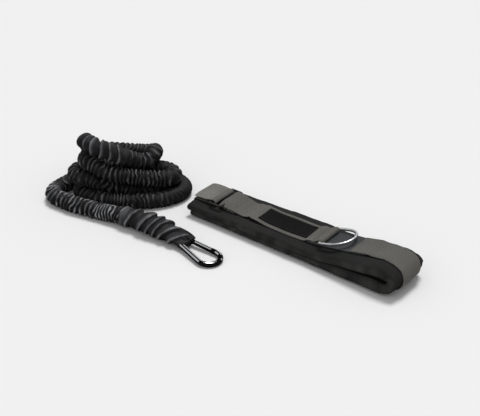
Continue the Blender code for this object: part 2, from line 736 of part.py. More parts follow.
latch_clear = LATCH_PIN_RADIUS + FIT_GAP
notch_low = LATCH_PIN_PLACE - latch_clear
notch_high = LATCH_PIN_PLACE + latch_clear
nose_tip = nose_place - NOSE_TONGUE_LENGTH
tongue_half = NOSE_TONGUE_HALF_HEIGHT
nose_outline = [
    (nose_place + CUT_OVERRUN, -tongue_half), (notch_high, -tongue_half), (notch_high, latch_clear),
    (notch_low, latch_clear), (notch_low, -tongue_half + latch_clear / 2), (nose_tip, -latch_clear / 2),
    (nose_tip, tongue_half), (nose_place + CUT_OVERRUN, tongue_half),
]
nose_tongue = slab("nose_tongue", nose_outline, NOSE_TONGUE_THICKNESS / 2, guide_mark, gate_frame)
combine(hook_body, nose_tongue, "UNION")
pivot_hole = pin(
    "pivot_hole", (0, 0), PIVOT_PIN_RADIUS + FIT_GAP, HOOK_WIRE_RADIUS + CUT_OVERRUN, guide_mark,
    gate_frame,
)
combine(hook_body, pivot_hole, "DIFFERENCE")

# Gate
cap = [(GATE_RADIUS * math.cos(a), GATE_RADIUS * math.sin(a)) for a in GATE_CAP_ANGLES]
gate_profile = cap + [(0, GATE_RADIUS), (GATE_LENGTH, GATE_RADIUS)]
hook_gate = turned("hook_gate", gate_profile, hook_steel, gate_frame)
fork_half = TONGUE_THICKNESS / 2 + FIT_GAP
wide_cut = GATE_RADIUS + CUT_OVERRUN
fork_cut = box(
    "fork_cut",
    (-wide_cut, -wide_cut, -fork_half),
    (FORK_DEPTH, wide_cut, fork_half),
    guide_mark,
    gate_frame,
)
combine(hook_gate, fork_cut, "DIFFERENCE")
latch_half = NOSE_TONGUE_THICKNESS / 2 + FIT_GAP
latch_cut = box(
    "latch_cut",
    (nose_tip - NOSE_TONGUE_HALF_HEIGHT / 2, -wide_cut, -latch_half),
    (GATE_LENGTH + CUT_OVERRUN, wide_cut, latch_half),
    guide_mark,
    gate_frame,
)
combine(hook_gate, latch_cut, "DIFFERENCE")
spring_bore = turned(
    "spring_bore",
    [(CAM_HIGH_RADIUS / 2, GATE_BORE_RADIUS), (GATE_BORE_END, GATE_BORE_RADIUS)],
    guide_mark,
    gate_frame,
)
combine(hook_gate, spring_bore, "DIFFERENCE")
combine(hook_gate, pivot_hole, "DIFFERENCE")
latch_hole = pin(
    "latch_hole", (LATCH_PIN_PLACE, 0), LATCH_PIN_RADIUS + FIT_GAP, wide_cut, guide_mark, gate_frame)
combine(hook_gate, latch_hole, "DIFFERENCE")
pin_half = GATE_RADIUS - FIT_GAP / 2
pin("gate_pivot_pin", (0, 0), PIVOT_PIN_RADIUS, pin_half, spring_steel, gate_frame)
pin("gate_latch_pin", (LATCH_PIN_PLACE, 0), LATCH_PIN_RADIUS, pin_half, spring_steel, gate_frame)

tip = CAM_LOW_RADIUS + FIT_GAP
shoulder = tip + PLUNGER_RADIUS
plunger_end = tip + PLUNGER_LENGTH
turned(
    "gate_plunger",
    [(tip, PLUNGER_TIP_RADIUS), (shoulder, PLUNGER_RADIUS), (plunger_end, PLUNGER_RADIUS)],
    spring_steel,
    gate_frame,
    12,
)
spring_radius = GATE_BORE_RADIUS - SPRING_WIRE_RADIUS - FIT_GAP / 2
spring_start = plunger_end + FIT_GAP + SPRING_WIRE_RADIUS
spring_end = GATE_BORE_END - FIT_GAP - SPRING_WIRE_RADIUS
spring_line = []
for k in range(8 * SPRING_CURLS + 1):
    a = 2 * math.pi * k / 8
    x = spring_start + (spring_end - spring_start) * k / (8 * SPRING_CURLS)
    spring_line.append((x, spring_radius * math.cos(a), spring_radius * math.sin(a)))
tube("gate_spring", spring_line, SPRING_WIRE_RADIUS, spring_steel, gate_frame, None, False, 1)


# Belt, in its own frame: X along it from its front left corner, Y across it to the back

belt = empty("belt_frame", (BELT_X, BELT_Y, 0), BELT_HEADING, trainer)
BELT_MIDDLE = LINER_WIDTH / 2
lower_middle = WEBBING_THICKNESS + FIT_GAP + LINER_THICKNESS / 2
upper_middle = lower_middle + LINER_THICKNESS + FIT_GAP

# The liner's middle line: flat, round the open fold on the right, and back over itself.
# Heights are shares of the liner's thickness above its lower run, chosen from the photograph
FOLD_SHARES = [
    (338, 0.0), (356, 0.16), (369, 0.62), (377, 1.45), (377.5, 2.25), (370, 2.95), (356, 3.24),
    (340, 3.20), (321, 2.98), (305, 2.66), (285, 2.28), (261, 1.90), (232, 1.45), (205, 1.18),
    (180, 1.06),
]
fold_points = [(x * MM, lower_middle + share * LINER_THICKNESS) for x, share in FOLD_SHARES]
liner_route = [(LOWER_END, lower_middle), (FOLD_SHARES[0][0] * MM / 2, lower_middle)] + fold_points
upper_places = (UPPER_RUN_FLAT_END, UPPER_RUN_FLAT_END / 2, UPPER_END)
liner_route += [(x, upper_middle) for x in upper_places]
liner_line = through(liner_route, LINER_STEP / 4)
liner_line[:, 1] = np.maximum(liner_line[:, 1], lower_middle)
liner_run = arc_lengths(liner_line)
fold_at = int(np.argmax(liner_line[:, 0]))
on_top = (np.arange(len(liner_line)) > fold_at)
liner_line[on_top, 1] = np.maximum(liner_line[on_top, 1], upper_middle)


def on_liner(run_place, lift=0.0):
    place = at_lengths(liner_line, [run_place])[0]
    ahead = at_lengths(liner_line, [min(run_place + LINER_STEP / 2, liner_run[-1])])[0]
    behind = at_lengths(liner_line, [max(run_place - LINER_STEP / 2, 0)])[0]
    t = (ahead - behind) / np.linalg.norm(ahead - behind)
    return place + np.array([t[1], -t[0]]) * lift


def top_run(x):
    # How far along the liner its upper run has the given X
    upper = liner_line[fold_at:]
    return float(np.interp(-x, -upper[:, 0], liner_run[fold_at:]))


# Rings of the liner: few along its straight runs, close together round its fold
fold_start_run = float(np.interp(FOLD_START, liner_line[:fold_at, 0], liner_run[:fold_at]))
flat_end_run = top_run(UPPER_RUN_FLAT_END)
bent_count = int((flat_end_run - fold_start_run) / LINER_STEP)
liner_stations = [0, LINER_END_ROUNDING]
liner_stations += list(np.linspace(fold_start_run, flat_end_run, bent_count + 1))
liner_stations += [liner_run[-1] - LINER_END_ROUNDING, liner_run[-1]]


def over_liner(start, end, lift):
    # Points on the upper run from one X to another, lifted off the liner's middle line,
    # at the liner's own rings, so that a strip keeps an even gap to it
    low, high = sorted((top_run(start), top_run(end)))
    clear = LINER_STEP / 4
    places = [low] + [s for s in liner_stations if low + clear < s < high - clear] + [high]
    if start > end:
        return [tuple(on_liner(s, lift)) for s in places]
    return [tuple(on_liner(s, lift)) for s in places[::-1]]


liner_skin = LINER_THICKNESS / 2
first_lift = liner_skin + FIT_GAP + WEBBING_THICKNESS / 2
layer = WEBBING_THICKNESS + FIT_GAP

# Across the liner: place as a share of its width, height as a share of half its thickness,
# and how much of the edge's drop applies
CROSS_SHARES = [
    (0.0, 0.0, 1.0), (0.028, 0.75, 1.0), (0.11, 1.0, 0.8), (0.222, 1.0, 0.0), (0.778, 1.0, 0.0),
    (0.89, 1.0, 0.8), (0.972, 0.75, 1.0), (1.0, 0.0, 1.0), (0.972, -0.75, 1.0), (0.89, -1.0, 0.8),
    (0.778, -1.0, 0.0), (0.222, -1.0, 0.0), (0.11, -1.0, 0.8), (0.028, -0.75, 1.0),
]
rings = []
for run_place in liner_stations:
    middle = on_liner(run_place)
    from_end = min(run_place, liner_run[-1] - run_place)
    end_share = LINER_END_SHARE + (1 - LINER_END_SHARE) * min(1, from_end / LINER_END_ROUNDING)
    open_share = min(1, max(0, (middle[1] - upper_middle) / (2 * LINER_THICKNESS)))
    drop = LINER_EDGE_DROP + LINER_OPEN_DROP * open_share
    ring = []
    for across, high, edge in CROSS_SHARES:
        x, z = on_liner(run_place, high * liner_skin * end_share)
        ring.append((x, across * LINER_WIDTH, z - edge * drop))
    rings.append(ring)
loft("belt_liner", rings, liner_cloth, belt)


def belt_strip(name, line, width, thickness, mat, parent=belt):
    points = [(x, BELT_MIDDLE, z) for x, z in line]
    count = len(points)
    return ribbon(name, points, [(0, 1, 0)] * count, [width] * count, thickness, mat, parent)


# The main webbing: from right of the D-ring round the fold, under the belt, up round the left
# ends and round the closure ring's left bar
bar_turn = CLOSURE_WIRE_RADIUS + FIT_GAP + WEBBING_THICKNESS / 2
top_of_liner = upper_middle + liner_skin
strap_level = upper_middle + first_lift
bar_height = strap_level + CLOSURE_LIFT + bar_turn
left_bar = (CLOSURE_LEFT_BAR, bar_height)
right_bar = (CLOSURE_RIGHT_BAR, bar_height)
under_level = WEBBING_THICKNESS / 2
wrap_x = UPPER_END - FIT_GAP - WEBBING_THICKNESS / 2
wrap_radius = 2.5 * WEBBING_THICKNESS

main_line = over_liner(MAIN_WEBBING_START, ANCHOR_END + layer, first_lift + layer)
fold_from = top_run(ANCHOR_END + 4 * layer)
for run_place in liner_stations[::-1]:
    if fold_start_run / 2 < run_place < fold_from:
        main_line.append(tuple(on_liner(run_place, first_lift)))
main_line += [(FOLD_START / 2, under_level), (0, under_level)]
main_line += arc((wrap_x + wrap_radius, under_level + wrap_radius), wrap_radius, 270, 180, 5)
main_line += arc((wrap_x + wrap_radius, strap_level - wrap_radius), wrap_radius, 180, 90, 5)
stack_start = main_line[-1][0]
stack_slope = CLOSURE_LIFT / (CLOSURE_LEFT_BAR - stack_start)
main_line += arc(left_bar, bar_turn, -90, 90, 9)
main_line += [(left_bar[0] - TAIL_SEAM / 4, left_bar[1] + bar_turn)]
belt_strip("main_webbing", main_line, WEBBING_WIDTH, WEBBING_THICKNESS, grey_webbing)

# The strap's free end, folded back over the left bar, and its hook-and-loop fields. It peels
# up about the seam on top of the bar
tail_top = left_bar[1] + bar_turn + WEBBING_THICKNESS / 2
tail_axis = (left_bar[0] - TAIL_SEAM / 2, tail_top + FIT_GAP / 2)
tail_frame = empty("tail_axis", (tail_axis[0], BELT_MIDDLE, tail_axis[1]), 0, belt)


def in_stack(x, lift):
    return (x, strap_level + stack_slope * (x - stack_start) + lift)


def stack_strip(name, line, width, thickness, mat, origin, parent):
    points = [(x - origin[0], origin[1], z - origin[2]) for x, z in line]
    count = len(points)
    return ribbon(name, points, [(0, 1, 0)] * count, [width] * count, thickness, mat, parent)


loop_lift = (WEBBING_THICKNESS + FASTENER_THICKNESS) / 2 + FIT_GAP
hook_lift = loop_lift + FASTENER_THICKNESS + FIT_GAP
tail_lift = hook_lift + loop_lift
fastener_width = WEBBING_WIDTH - 2 * FASTENER_MARGIN
stack_strip(
    "loop_field",
    [in_stack(x, loop_lift) for x in (FASTENER_START, FASTENER_END)],
    fastener_width, FASTENER_THICKNESS, fastener_cloth, (0, BELT_MIDDLE, 0), belt,
)
tail_origin = (tail_axis[0], 0, tail_axis[1])
stack_strip(
    "hook_field",
    [in_stack(x, hook_lift) for x in (FASTENER_START, FASTENER_END)],
    fastener_width, FASTENER_THICKNESS, fastener_cloth, tail_origin, tail_frame,
)
tail_line = [in_stack(TAIL_END, tail_lift), in_stack(FASTENER_END, tail_lift)]
tail_line += [(left_bar[0] - TAIL_SEAM, left_bar[1] + bar_turn)]
stack_strip(
    "closure_tail", tail_line, WEBBING_WIDTH, WEBBING_THICKNESS, grey_webbing, tail_origin,
    tail_frame,
)

# The front webbing: folded round the closure ring's right bar, waving over the liner, and
# folded round the D-ring's bar
d_bar_turn = D_RING_WIRE_RADIUS + FIT_GAP + WEBBING_THICKNESS / 2
d_floor = on_liner(top_run(D_RING_PLACE), first_lift + layer)
d_bar = (D_RING_PLACE, d_floor[1] + d_bar_turn)
tuck_end = CLOSURE_RIGHT_BAR + TUCK_LENGTH + 2 * bar_turn
front_line = [(tuck_end, strap_level), (CLOSURE_RIGHT_BAR + 3 * bar_turn, strap_level)]
front_line += arc(right_bar, bar_turn, 270, 90, 9)
front_line += [
    (CLOSURE_RIGHT_BAR + 3 * bar_turn, right_bar[1] + bar_turn * 0.8),
    (tuck_end - layer, strap_level + layer * 1.6),
    (tuck_end + layer, strap_level + layer * 1.15),
    (WAVE_START, strap_level),
]
for k in range(1, 9):
    share = k / 9
    lift = WAVE_HEIGHT * math.sin(math.pi * share ** 0.8) ** 2
    front_line.append((WAVE_START + (WAVE_END - WAVE_START) * share, strap_level + lift))
front_line += over_liner(WAVE_END, ANCHOR_START - 3 * layer, first_lift)
front_line += [tuple(on_liner(top_run(ANCHOR_START - layer / 2), first_lift + layer))]
tuck_start = D_RING_PLACE - TUCK_LENGTH - layer / 2
front_line += over_liner(tuck_start, D_RING_PLACE - 3 * d_bar_turn, first_lift + 2 * layer)
ring_turn = len(front_line)
front_line += arc(d_bar, d_bar_turn, 112, -90, 11)
front_line += [tuple(on_liner(top_run(D_RING_PLACE - TUCK_LENGTH), first_lift + layer))]
belt_strip("front_webbing", front_line, WEBBING_WIDTH, WEBBING_THICKNESS, grey_webbing)

anchor_line = over_liner(ANCHOR_START, ANCHOR_END, first_lift)
belt_strip("anchor_strip", anchor_line, WEBBING_WIDTH, WEBBING_THICKNESS, slate_webbing)


def height_on(line, x):
    places = sorted(line)
    return float(np.interp(x, [p[0] for p in places], [p[1] for p in places]))


# The label, bare, on top of the front webbing
label_lift = (WEBBING_THICKNESS + LABEL_THICKNESS) / 2 + FIT_GAP
front_top = [p for p in front_line[:ring_turn] if p[0] > WAVE_START]
label_line = []
for k in range(13):
    x = LABEL_START + LABEL_LENGTH * k / 12
    label_line.append((x, height_on(front_top, x) + label_lift))
label = belt_strip("label_patch", label_line, LABEL_WIDTH, LABEL_THICKNESS, label_cloth)


# Rings

def rounded_loop(corners, radius, steps=5):
    # A closed outline with rounded corners, from its corner points in order
    outline = []
    for k, corner in enumerate(corners):
        before = Vector(corners[k - 1]) - Vector(corner)
        after = Vector(corners[(k + 1) % len(corners)]) - Vector(corner)
        start = Vector(corner) + before.normalized() * radius
        end = Vector(corner) + after.normalized() * radius
        for j in range(steps):
            s = j / (steps - 1)
            outline.append(((1 - s) ** 2) * start + 2 * s * (1 - s) * Vector(corner) + s * s * end)
    return outline


closure_half = WEBBING_WIDTH / 2 + CLOSURE_SIDE_GAP + CLOSURE_WIRE_RADIUS
closure_corners = [
    (CLOSURE_LEFT_BAR, -closure_half), (CLOSURE_RIGHT_BAR, -closure_half),
    (CLOSURE_RIGHT_BAR, closure_half), (CLOSURE_LEFT_BAR, closure_half),
]
closure_outline = rounded_loop(closure_corners, CLOSURE_CORNER_RADIUS)
closure_line = [(p.x, BELT_MIDDLE + p.y, bar_height) for p in closure_outline]
tube("closure_ring", closure_line, CLOSURE_WIRE_RADIUS, black_wire, belt, None, True, 3)

d_frame = empty("d_ring_axis", (d_bar[0], BELT_MIDDLE, d_bar[1]), 0, belt)
d_frame.rotation_euler = (0, -D_RING_TILT, 0)
d_half = WEBBING_WIDTH / 2 + D_RING_SIDE_GAP + D_RING_WIRE_RADIUS
d_side_end = D_RING_DEPTH - d_half
d_sides = [(d_side_end, d_half), (0, d_half), (0, -d_half), (d_side_end, -d_half)]
d_corners = rounded_loop(d_sides, D_RING_CORNER_RADIUS)
d_line = [(p.x, p.y, 0) for p in d_corners[5:15]]
d_line += [(x, y, 0) for x, y in arc((d_side_end, 0), d_half, -QUARTER_TURN, QUARTER_TURN, 15)]
tube("d_ring", d_line, D_RING_WIRE_RADIUS, hook_steel, d_frame, None, True, 3)
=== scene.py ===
import math
import bpy
import numpy as np
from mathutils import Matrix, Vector


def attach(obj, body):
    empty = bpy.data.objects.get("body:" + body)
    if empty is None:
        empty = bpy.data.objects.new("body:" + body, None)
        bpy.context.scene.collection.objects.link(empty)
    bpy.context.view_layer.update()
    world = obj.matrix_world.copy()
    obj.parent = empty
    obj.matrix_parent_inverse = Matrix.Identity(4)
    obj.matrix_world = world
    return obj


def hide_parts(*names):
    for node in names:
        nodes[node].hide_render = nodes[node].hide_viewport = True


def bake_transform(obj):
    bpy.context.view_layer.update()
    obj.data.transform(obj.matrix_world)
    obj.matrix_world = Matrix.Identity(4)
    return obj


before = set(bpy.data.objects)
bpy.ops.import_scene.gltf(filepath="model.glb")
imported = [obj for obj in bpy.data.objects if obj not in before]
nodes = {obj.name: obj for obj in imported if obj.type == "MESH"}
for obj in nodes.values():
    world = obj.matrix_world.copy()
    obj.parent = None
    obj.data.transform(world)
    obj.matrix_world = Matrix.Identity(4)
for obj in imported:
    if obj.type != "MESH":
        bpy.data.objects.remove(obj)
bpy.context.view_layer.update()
mm = 0.001
scene = bpy.context.scene
scene.view_settings.view_transform = "Standard"

# Camera: the photograph looks down on the set at 30 degrees

shot = {"lens": 85, "sensor": 36, "tilt": 30, "distance": 1.954, "target": (0.0264, 0.0384, 0)}
camera = bpy.data.objects.new("studioCamera", bpy.data.cameras.new("studioCamera"))
scene.collection.objects.link(camera)
camera.data.lens = shot["lens"]
camera.data.sensor_width = shot["sensor"]
tilt = math.radians(shot["tilt"])
towardsCamera = Vector((0, -math.cos(tilt), math.sin(tilt)))
camera.location = Vector(shot["target"]) + towardsCamera * shot["distance"]
camera.rotation_euler = (math.radians(90) - tilt, 0, 0)
scene.camera = camera


# Small tools for lines and meshes

def cloudy(a, b, seed, wrap=0):
    # Smooth noise from -1 to 1 on arrays a and b; wrap repeats it along b
    cells = 256
    table = np.random.default_rng(seed).uniform(-1, 1, (cells, cells))
    a0, b0 = np.floor(a).astype(int), np.floor(b).astype(int)
    fa, fb = a - a0, b - b0
    fa, fb = fa * fa * (3 - 2 * fa), fb * fb * (3 - 2 * fb)

    def pick(i, j):
        return table[i % cells, (j % wrap if wrap else j) % cells]

    low = pick(a0, b0) * (1 - fa) + pick(a0 + 1, b0) * fa
    high = pick(a0, b0 + 1) * (1 - fa) + pick(a0 + 1, b0 + 1) * fa
    return low * (1 - fb) + high * fb


def lengthsOf(line):
    return np.concatenate([[0], np.cumsum(np.linalg.norm(np.diff(line, axis=0), axis=1))])


def atLengths(line, lengths):
    run = lengthsOf(line)
    return np.stack([np.interp(lengths, run, line[:, k]) for k in range(line.shape[1])], axis=1)


def smoothLine(points, step):
    # A round curve through the points, resampled at even steps
    p = np.array(points, float)
    p = np.vstack([2 * p[0] - p[1], p, 2 * p[-1] - p[-2]])
    t = np.linspace(0, 1, 12, endpoint=False)[:, None]
    parts = []
    for k in range(1, len(p) - 2):
        a, b, c, d = p[k - 1:k + 3]
        bowed = (2 * a - 5 * b + 4 * c - d) * t ** 2 + (3 * b - a - 3 * c + d) * t ** 3
        parts.append(0.5 * (2 * b + (c - a) * t + bowed))
    fine = np.vstack(parts + [p[-2:-1]])
    total = lengthsOf(fine)[-1]
    return atLengths(fine, np.linspace(0, total, max(2, int(round(total / step)) + 1)))


def headings(line):
    ahead = np.gradient(line, axis=0)
    return ahead / np.linalg.norm(ahead, axis=1)[:, None]


def levelSides(ahead):
    # Level, and square to each heading
    side = np.cross([0, 0, 1], ahead)
    return side / np.linalg.norm(side, axis=1)[:, None]


def addPiece(name, mesh, material):
    mesh.materials.append(material)
    piece = bpy.data.objects.new(name, mesh)
    scene.collection.objects.link(piece)
    return piece


def gridMesh(name, grid, uv, material, marks=None):
    # A skin over rows of points; each row closes on itself, and the first and last rows are capped
    rows, around = grid.shape[:2]
    verts = grid.reshape(-1, 3)
    k = np.arange((rows - 1) * around)
    nextOne = np.where(k % around == around - 1, k - around + 1, k + 1)
    faces = np.stack([k, nextOne, nextOne + around, k + around], axis=1).tolist()
    faces.append(list(range(around))[::-1])
    faces.append(list(range((rows - 1) * around, rows * around)))
    mesh = bpy.data.meshes.new(name)
    mesh.from_pydata(verts.tolist(), [], faces)
    flat = uv.reshape(-1, 2)
    layer = mesh.uv_layers.new(name="UVMap")
    corner = np.zeros(len(mesh.loops), int)
    mesh.loops.foreach_get("vertex_index", corner)
    spots = flat[corner]
    quadEnd = 4 * (rows - 1) * around
    seam = np.arange(quadEnd).reshape(-1, 4)[around - 1::around]  # the last strip runs on past the seam
    spots[seam[:, 1:3], 1] = 2 * flat[around - 1, 1] - flat[around - 2, 1]
    layer.data.foreach_set("uv", spots.astype(np.float32).ravel())
    if marks is not None:
        crest = mesh.attributes.new("crest", "FLOAT", "POINT")
        crest.data.foreach_set("value", marks.astype(np.float32).ravel())
    mesh.shade_smooth()
    return addPiece(name, mesh, material)


# Materials

def linear(code):
    # An sRGB hex code as linear red, green, blue, alpha
    parts = [int(code[k:k + 2], 16) / 255 for k in (1, 3, 5)]
    return tuple(c / 12.92 if c <= 0.04045 else ((c + 0.055) / 1.055) ** 2.4 for c in parts) + (1,)


def newMaterial(name):
    material = bpy.data.materials.new(name)
    material.use_nodes = True
    tree = material.node_tree
    tree.nodes.clear()
    return material, tree


def addNode(tree, kind, values=(), links=(), **settings):
    node = tree.nodes.new("ShaderNode" + kind)
    for key, value in settings.items():
        setattr(node, key, value)
    for socket, value in dict(values).items():
        node.inputs[socket].default_value = value
    for socket, source in dict(links).items():
        tree.links.new(source, node.inputs[socket])
    return node


def counted(tree, operation, first, second=None):
    # A sum on one or two values, each a socket or a number
    sockets = {k: v for k, v in enumerate((first, second)) if isinstance(v, bpy.types.NodeSocket)}
    numbers = {k: v for k, v in enumerate((first, second)) if isinstance(v, (int, float))}
    return addNode(tree, "Math", numbers, sockets, operation=operation).outputs[0]


def spread(tree, value, low, high, newLow, newHigh):
    return addNode(tree, "MapRange", {1: low, 2: high, 3: newLow, 4: newHigh}, {0: value}).outputs[0]


def noise(tree, place, scale, detail, roughness=0.5):
    values = {"Scale": scale, "Detail": detail, "Roughness": roughness}
    return addNode(tree, "TexNoise", values, {0: place}).outputs[0]


def shaded(tree, colour, share):
    return addNode(tree, "VectorMath", {}, {0: colour, "Scale": share}, operation="SCALE").outputs[0]


def raised(tree, height, strength, distance):
    return addNode(tree, "Bump", {"Strength": strength, "Distance": distance}, {"Height": height}).outputs[0]


def wovenCloth(name, look):
    # Threads cross over and under on the piece's own UV map, which is in metres. Fuzz gives sheen at
    # the edges of view. Marked crests get a painted highlight with some wear, and creases painted shade
    material, tree = newMaterial(name)
    place = addNode(tree, "UVMap").outputs[0]
    split = addNode(tree, "SeparateXYZ", links={0: place})
    warp = counted(tree, "MULTIPLY", split.outputs[1], math.pi / (look["warp"] * mm))
    weft = counted(tree, "MULTIPLY", split.outputs[0], math.pi / (look["weft"] * mm))
    if look.get("twill"):
        warp = counted(tree, "ADD", warp, counted(tree, "MULTIPLY", weft, look["twill"]))
    weftWave = counted(tree, "SINE", weft)
    cross = counted(tree, "MULTIPLY", counted(tree, "SINE", warp), weftWave)
    rib = counted(tree, "ABSOLUTE", weftWave)
    threads = addNode(tree, "Mix", {0: look["ribShare"]}, {2: cross, 3: rib}).outputs[0]
    fuzz = noise(tree, place, look["fuzzScale"], 4, 0.6)
    blotch = noise(tree, place, look["blotchScale"], 3)
    height = counted(tree, "ADD", threads, counted(tree, "MULTIPLY", fuzz, look["fuzzHeight"]))
    bump = raised(tree, height, look["bump"], look["relief"] * mm)
    dyes = {6: linear(look["dark"]), 7: linear(look["light"])}
    threadShare = spread(tree, threads, -1, 1, 0, 1)
    colour = addNode(tree, "Mix", dyes, {0: threadShare}, data_type="RGBA").outputs[2]
    colour = shaded(tree, colour, spread(tree, blotch, 0.3, 0.7, 1 - look["blotch"], 1 + look["blotch"]))
    if look.get("wearAndHighlight"):
        crest = addNode(tree, "Attribute", attribute_name="crest").outputs["Fac"]
        # Painted shade: marks below 0 darken the creases. Painted highlight with some wear: marks above 0 mix
        # in the pale colour
        colour = shaded(tree, colour, spread(tree, crest, -1, 0, look["creaseShade"], 1))
        ragged = counted(tree, "MULTIPLY", crest, counted(tree, "ADD", fuzz, 0.5))
        share = spread(tree, ragged, look["wearAndHighlightFrom"], look["wearAndHighlightTo"], 0, 1)
        wearAndHighlight = {7: linear(look["wearAndHighlight"])}
        colour = addNode(tree, "Mix", wearAndHighlight, {0: share, 6: colour}, data_type="RGBA").outputs[2]
    shader = addNode(tree, "BsdfPrincipled", {
        "Roughness": look["roughness"], "Sheen Weight": look["sheen"], "Sheen Roughness": 0.4,
        "Sheen Tint": linear(look["light"]), "Specular IOR Level": look["gloss"],
    }, {"Base Color": colour, "Normal": bump})
    addNode(tree, "OutputMaterial", {}, {0: shader.outputs[0]})
    return material


def smoothFinish(name, look):
    # Metal or rubber without a weave: clouds vary its shade and gloss, and fine grit breaks its shine
    material, tree = newMaterial(name)
    place = addNode(tree, "TexCoord").outputs["Object"]
    cloud = noise(tree, place, look["cloudScale"], 5)
    grit = noise(tree, place, look["gritScale"], 3)
    rough = spread(tree, cloud, 0.35, 0.7, look["smooth"], look["dull"])
    shades = {6: linear(look["dark"]), 7: linear(look["light"])}
    tint = addNode(tree, "Mix", shades, {0: cloud}, data_type="RGBA").outputs[2]
    bump = raised(tree, grit, look["bump"], 0.05 * mm)
    shader = addNode(
        tree, "BsdfPrincipled", {"Metallic": look["metallic"]},
        {"Base Color": tint, "Roughness": rough, "Normal": bump})
    addNode(tree, "OutputMaterial", {}, {0: shader.outputs[0]})
    return material


# Gathered sleeve cloth: filament nylon, black, with paler pucker crests, a painted highlight with some
# wear. The 1.5 mm threads are drawn coarse, as the real 0.4 mm ones are too fine to show
nylonLook = {
    "dark": "#171718", "blotch": 0.3, "creaseShade": 0.2, "roughness": 0.62, "sheen": 0.06, "gloss": 0.24}
gatheredNylon = wovenCloth("gatheredNylon", {
    **nylonLook, "warp": 1.5, "weft": 1.5, "ribShare": 0.2, "fuzzScale": 420, "fuzzHeight": 0.8,
    "blotchScale": 22, "bump": 0.5, "relief": 0.35, "light": "#2a2a2c", "wearAndHighlight": "#9d9ea2", "wearAndHighlightFrom": 0.1,
    "wearAndHighlightTo": 1.3})
# Cuffs: a heavier plain weave of the same nylon, with broad pleats whose crests are greyed by a
# painted highlight with some wear
cuffNylon = wovenCloth("cuffNylon", {
    **nylonLook, "warp": 1.7, "weft": 1.7, "ribShare": 0.1, "fuzzScale": 380, "fuzzHeight": 0.9,
    "blotchScale": 30, "bump": 0.55, "relief": 0.4, "light": "#303032", "wearAndHighlight": "#8f9094", "wearAndHighlightFrom": 0.08,
    "wearAndHighlightTo": 1.2})
# Polypropylene webbing, 50 mm, warm grey and matt: a twill of 1.7 by 2.1 mm, drawn coarse so that it
# shows
webbingLook = {
    "warp": 1.7, "weft": 2.1, "twill": 0.5, "ribShare": 0.25, "fuzzScale": 500, "fuzzHeight": 0.5,
    "blotchScale": 14, "bump": 0.7, "relief": 0.5, "dark": "#393836", "light": "#76746f", "blotch": 0.1,
    "roughness": 0.78, "sheen": 0.08, "gloss": 0.15}
greyWebbing = wovenCloth("greyWebbing", webbingLook)
# The closure's free end is the same webbing in a paler copy: a painted highlight on its bulging top
paintedHighlightWebbing = wovenCloth("paintedHighlightWebbing", {
    **webbingLook, "fuzzHeight": 0.6, "dark": "#4c4b48", "light": "#8f8d87", "blotch": 0.2,
    "roughness": 0.72, "sheen": 0.14, "gloss": 0.2})
# The strip below the D-ring: polypropylene in a plain ribbed weave, drawn a cooler, darker grey
slateWebbing = wovenCloth("slateWebbing", {
    "warp": 1.3, "weft": 1.9, "ribShare": 0.35, "fuzzScale": 500, "fuzzHeight": 0.5, "blotchScale": 16,
    "bump": 0.6, "relief": 0.4, "dark": "#343536", "light": "#4e5052", "blotch": 0.1,
    "roughness": 0.8, "sheen": 0.06, "gloss": 0.12})
# Narrow black polyester webbing of the cord's straps: fine cross ribs, nearly without shine
blackWebbing = wovenCloth("blackWebbing", {
    "warp": 1.1, "weft": 1.6, "ribShare": 0.4, "fuzzScale": 500, "fuzzHeight": 0.5, "blotchScale": 30,
    "bump": 0.6, "relief": 0.35, "dark": "#141415", "light": "#2c2c2e", "blotch": 0.12,
    "roughness": 0.78, "sheen": 0.06, "gloss": 0.14})
# Padding cover: brushed polyester knit, matt and a little uneven, so that it reads as soft
linerKnit = wovenCloth("linerKnit", {
    "warp": 1.8, "weft": 1.2, "twill": 0.4, "ribShare": 0.0, "fuzzScale": 300, "fuzzHeight": 1.4,
    "blotchScale": 12, "bump": 0.45, "relief": 0.4, "dark": "#1f1f1f", "light": "#313130", "blotch": 0.25,
    "wearAndHighlight": "#454543", "wearAndHighlightFrom": 0.3, "wearAndHighlightTo": 1.3, "creaseShade": 0.6,
    "roughness": 0.88, "sheen": 0.16, "gloss": 0.12})
# Woven polyester label, bare: tight satin, nearly black, with fine ribs along it
labelSatin = wovenCloth("labelSatin", {
    "warp": 0.9, "weft": 1.1, "ribShare": 0.6, "fuzzScale": 600, "fuzzHeight": 0.3, "blotchScale": 18,
    "bump": 0.35, "relief": 0.2, "dark": "#0c0c0d", "light": "#161617", "blotch": 0.12,
    "roughness": 0.7, "sheen": 0.01, "gloss": 0.06})
# Hook and loop tape: short nylon pile, whose deep fuzz and sheen soften its edges
pileTape = wovenCloth("pileTape", {
    "warp": 1.5, "weft": 1.5, "ribShare": 0.0, "fuzzScale": 1400, "fuzzHeight": 3.0, "blotchScale": 40,
    "bump": 0.9, "relief": 0.6, "dark": "#151515", "light": "#2b2b2b", "blotch": 0.2,
    "roughness": 0.9, "sheen": 0.3, "gloss": 0.2})
# Bonded polyester sewing thread: its smooth twist glints more than the webbing round it
threadLook = {
    "warp": 0.6, "weft": 0.6, "ribShare": 0.5, "fuzzScale": 900, "fuzzHeight": 0.3, "blotchScale": 60,
    "bump": 0.3, "relief": 0.1, "blotch": 0.1, "sheen": 0.1, "gloss": 0.4}
greyThread = wovenCloth("greyThread", {**threadLook, "dark": "#4a4843", "light": "#6d6a62", "roughness": 0.6})
blackThread = wovenCloth("blackThread", {
    **threadLook, "dark": "#161617", "light": "#303032", "roughness": 0.55})

# Nickel-chrome plate on the hook's steel: almost a mirror, so it shows streaks of dark card and window
chromePlate = smoothFinish("chromePlate", {
    "cloudScale": 60, "gritScale": 1800, "smooth": 0.03, "dull": 0.09,
    "dark": "#a2a3a6", "light": "#c6c7c9", "bump": 0.1, "metallic": 1})
